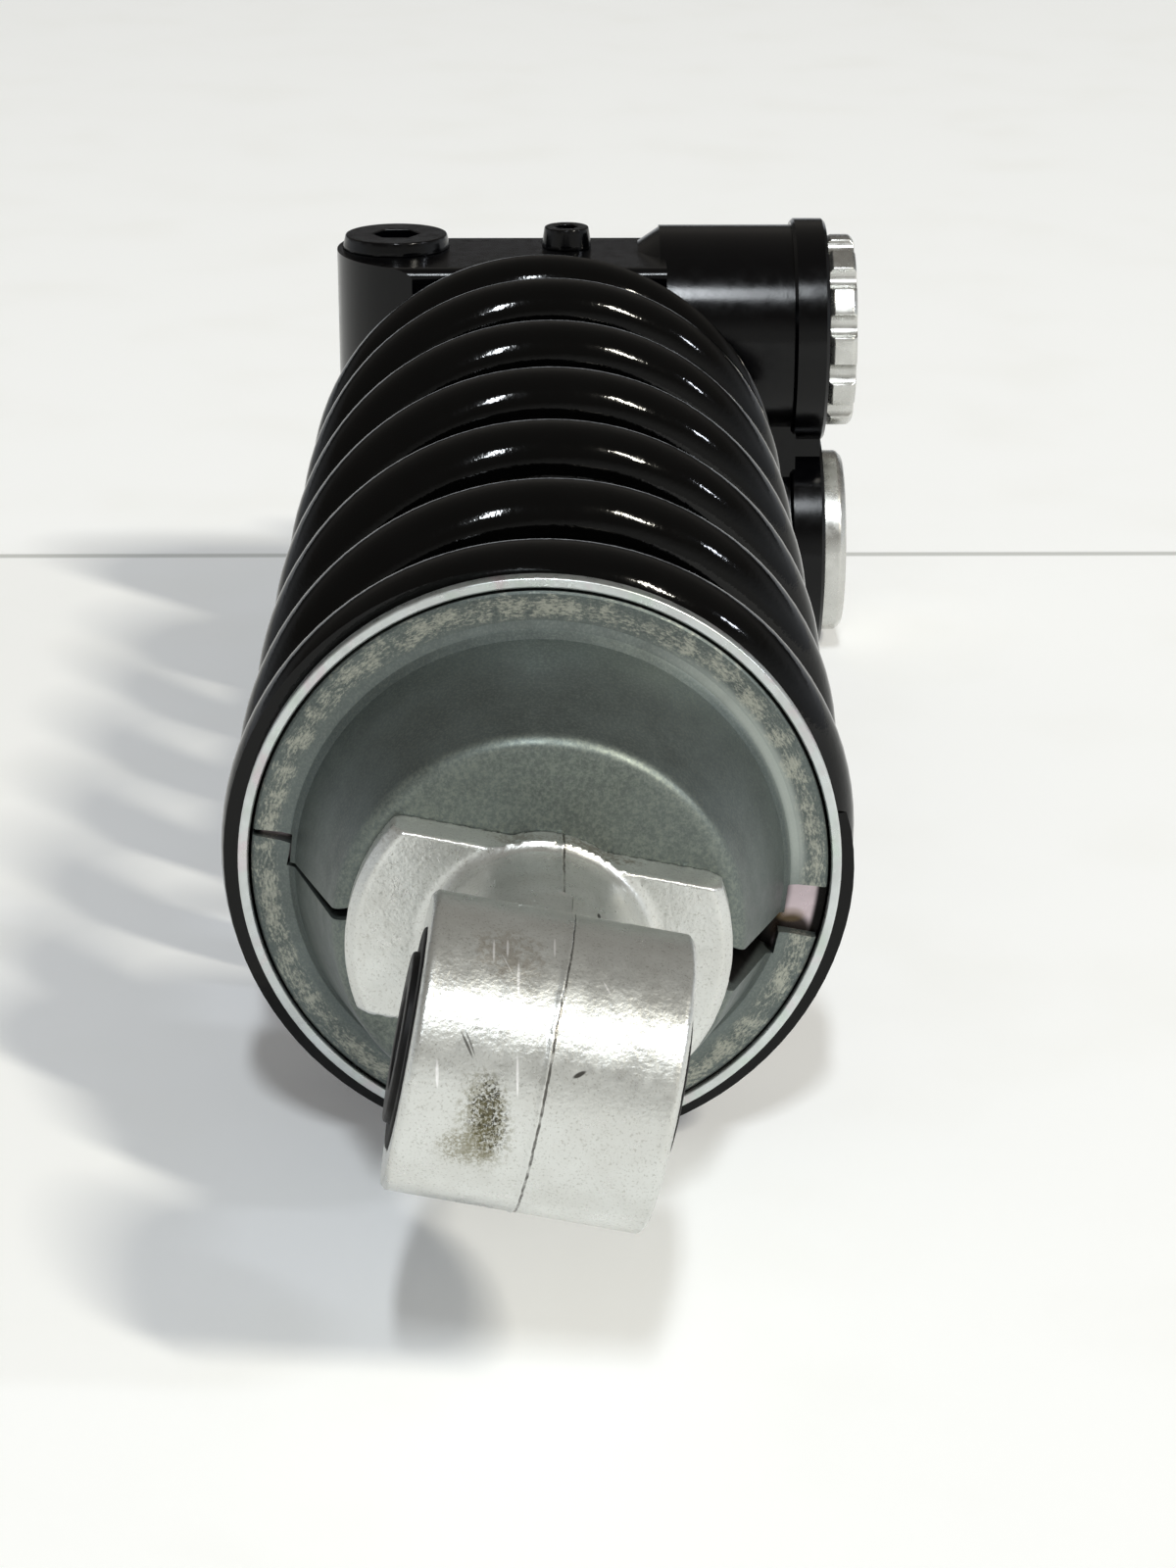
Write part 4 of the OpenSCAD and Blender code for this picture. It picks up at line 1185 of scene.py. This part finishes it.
@dataclass
class Studio:
    """The pale floor, the lamps and the camera."""

    floor_z: float = -42.5
    floor_tint: str = "F5F6F6"
    scuff_tint: str = "ECECE8"
    joint_tint: str = "8E8F86"
    joint_y: float = 347.0
    joint_fade: tuple[float, float] = (0.6, 2.2)
    scuff_mm: float = 45.0
    floor_glow: float = 0.12
    glow_tint: str = "E8ECF2"
    front_tint: str = "D2D2CE"
    side_tint: str = "D6DADE"
    doorway_tint: str = "303030"
    ceiling_tint: str = "7C7974"
    # Where the sides begin, the ceiling begins, the doorway begins, and the doorway's sill ends
    fades: tuple[tuple[str, float, float], ...] = (
        ("Y", -0.6, -0.2), ("Z", 0.16, 0.42), ("Y", 0.3, 0.7), ("Z", 0.10, 0.14))
    lens_mm: float = 80.1
    sensor_mm: float = 36.0
    camera_place: Point = (0.0031, -0.3671, 0.1704)
    camera_turn: Point = (69.64, 0.0, -0.434)
    lamp_target: Point = (0.0, 0.145, 0.04)
    lamp_reach: float = 8.0
    lamps: tuple[Lamp, ...] = (
        Lamp("ceiling_left", (0.0, -0.60, 0.80), 0.42, 1.7, 262.0, "F4FAFF"),
        Lamp("ceiling_middle", (0.536, -0.472, 0.69), 0.42, 1.5, 372.0, "FFFAEC"),
        Lamp("ceiling_right", (0.825, -0.257, 0.50), 0.36, 0.7, 80.0, "EDF3FF"),
    )

    def floor(self) -> None:
        """Lays a wide pale bench top with faint scuffs and the joint between its two boards."""
        bm = bmesh.new()
        bmesh.ops.create_grid(bm, x_segments=4, y_segments=4, size=6.0,
                              matrix=Matrix.Translation((0.0, 0.0, self.floor_z * MM)))
        obj = plain_object(bm, "bench_top")
        paint = Paint("bench_top")
        scuffs = paint.remap(paint.noise(self.scuff_mm, detail=5.0), 0.45, 0.75, 0.0, 0.35)
        colour = paint.mix(scuffs, linear(self.floor_tint), linear(self.scuff_tint))
        off_joint = paint.maths("ABSOLUTE", paint.maths("SUBTRACT", paint.along("Y"), self.joint_y))
        joint = paint.remap(off_joint, *self.joint_fade, 0.65, 0.0)
        colour = paint.mix(joint, colour, linear(self.joint_tint))
        shader = add_node(paint.tree, "ShaderNodeBsdfPrincipled",
                          {"Base Color": colour, "Roughness": 0.6, "Emission Color": linear(self.glow_tint),
                           "Emission Strength": self.floor_glow})
        add_node(paint.tree, "ShaderNodeOutputMaterial", {"Surface": shader.outputs[0]})
        obj.data.materials.append(paint.material)

    def hang(self, lamp: Lamp) -> None:
        """Hangs one lamp so that it faces the spring.

        Args:
            lamp: the lamp.
        """
        light = bpy.data.lights.new(lamp.name, "AREA")
        light.shape = "RECTANGLE"
        light.size = lamp.width_m
        light.size_y = lamp.height_m
        light.energy = lamp.watts
        light.color = linear(lamp.tint)[:3]
        obj = bpy.data.objects.new(lamp.name, light)
        target = Vector(self.lamp_target)
        obj.location = target + Vector(lamp.direction).normalized() * self.lamp_reach
        obj.rotation_euler = (obj.location - target).to_track_quat("Z", "Y").to_euler()
        bpy.context.scene.collection.objects.link(obj)

    def world(self) -> None:
        """Paints the room that the damper reflects.

        It is pale low down in front and at the sides, with a dark doorway behind above a pale sill and a
        grey ceiling.
        """
        world = bpy.data.worlds.new("room")
        world.use_nodes = True
        tree = world.node_tree
        tree.nodes.clear()
        place = add_node(tree, "ShaderNodeTexCoord").outputs["Generated"]
        way = add_node(tree, "ShaderNodeSeparateXYZ", {0: place})
        behind, above, back, sill = (
            add_node(tree, "ShaderNodeMapRange", {0: way.outputs[axis], 1: low, 2: high}).outputs[0]
            for axis, low, high in self.fades)
        doorway = add_node(tree, "ShaderNodeMath", {0: back, 1: sill}, operation="MULTIPLY").outputs[0]
        room = linear(self.front_tint)
        for share, tint in ((behind, self.side_tint), (doorway, self.doorway_tint),
                            (above, self.ceiling_tint)):
            room = add_node(tree, "ShaderNodeMix", {0: share, 6: room, 7: linear(tint)},
                            data_type="RGBA").outputs[2]
        sky = add_node(tree, "ShaderNodeBackground", {"Color": room, "Strength": 1.0})
        add_node(tree, "ShaderNodeOutputWorld", {"Surface": sky.outputs[0]})
        bpy.context.scene.world = world

    def camera(self) -> None:
        """Stands the camera in front of the lower eye and above it."""
        data = bpy.data.cameras.new("view")
        data.lens = self.lens_mm
        data.sensor_width = self.sensor_mm
        data.clip_start = 0.01
        obj = bpy.data.objects.new("view", data)
        obj.location = self.camera_place
        obj.rotation_euler = [math.radians(turn) for turn in self.camera_turn]
        bpy.context.scene.collection.objects.link(obj)
        bpy.context.scene.camera = obj

    def build(self) -> None:
        """Sets up the whole studio."""
        bpy.context.scene.view_settings.view_transform = "Standard"
        self.floor()
        for lamp in self.lamps:
            self.hang(lamp)
        self.world()
        self.camera()


def build_all(parts: Iterable) -> None:
    """Builds each sub-assembly in turn.

    Args:
        parts: the sub-assemblies.
    """
    for part in parts:
        part.build()
        LOG.info("built %s", getattr(part, "node", type(part).__name__))


def main() -> None:
    """Dresses the frame, builds the pieces and sets up the studio."""
    logging.basicConfig(level=logging.INFO, format="%(name)s: %(message)s")
    WARDROBE.dress_nodes()
    build_all((Spring(), LowerMount(), DamperTube(), *EDGED))
    Studio().build()


if __name__ == "__main__":
    main()
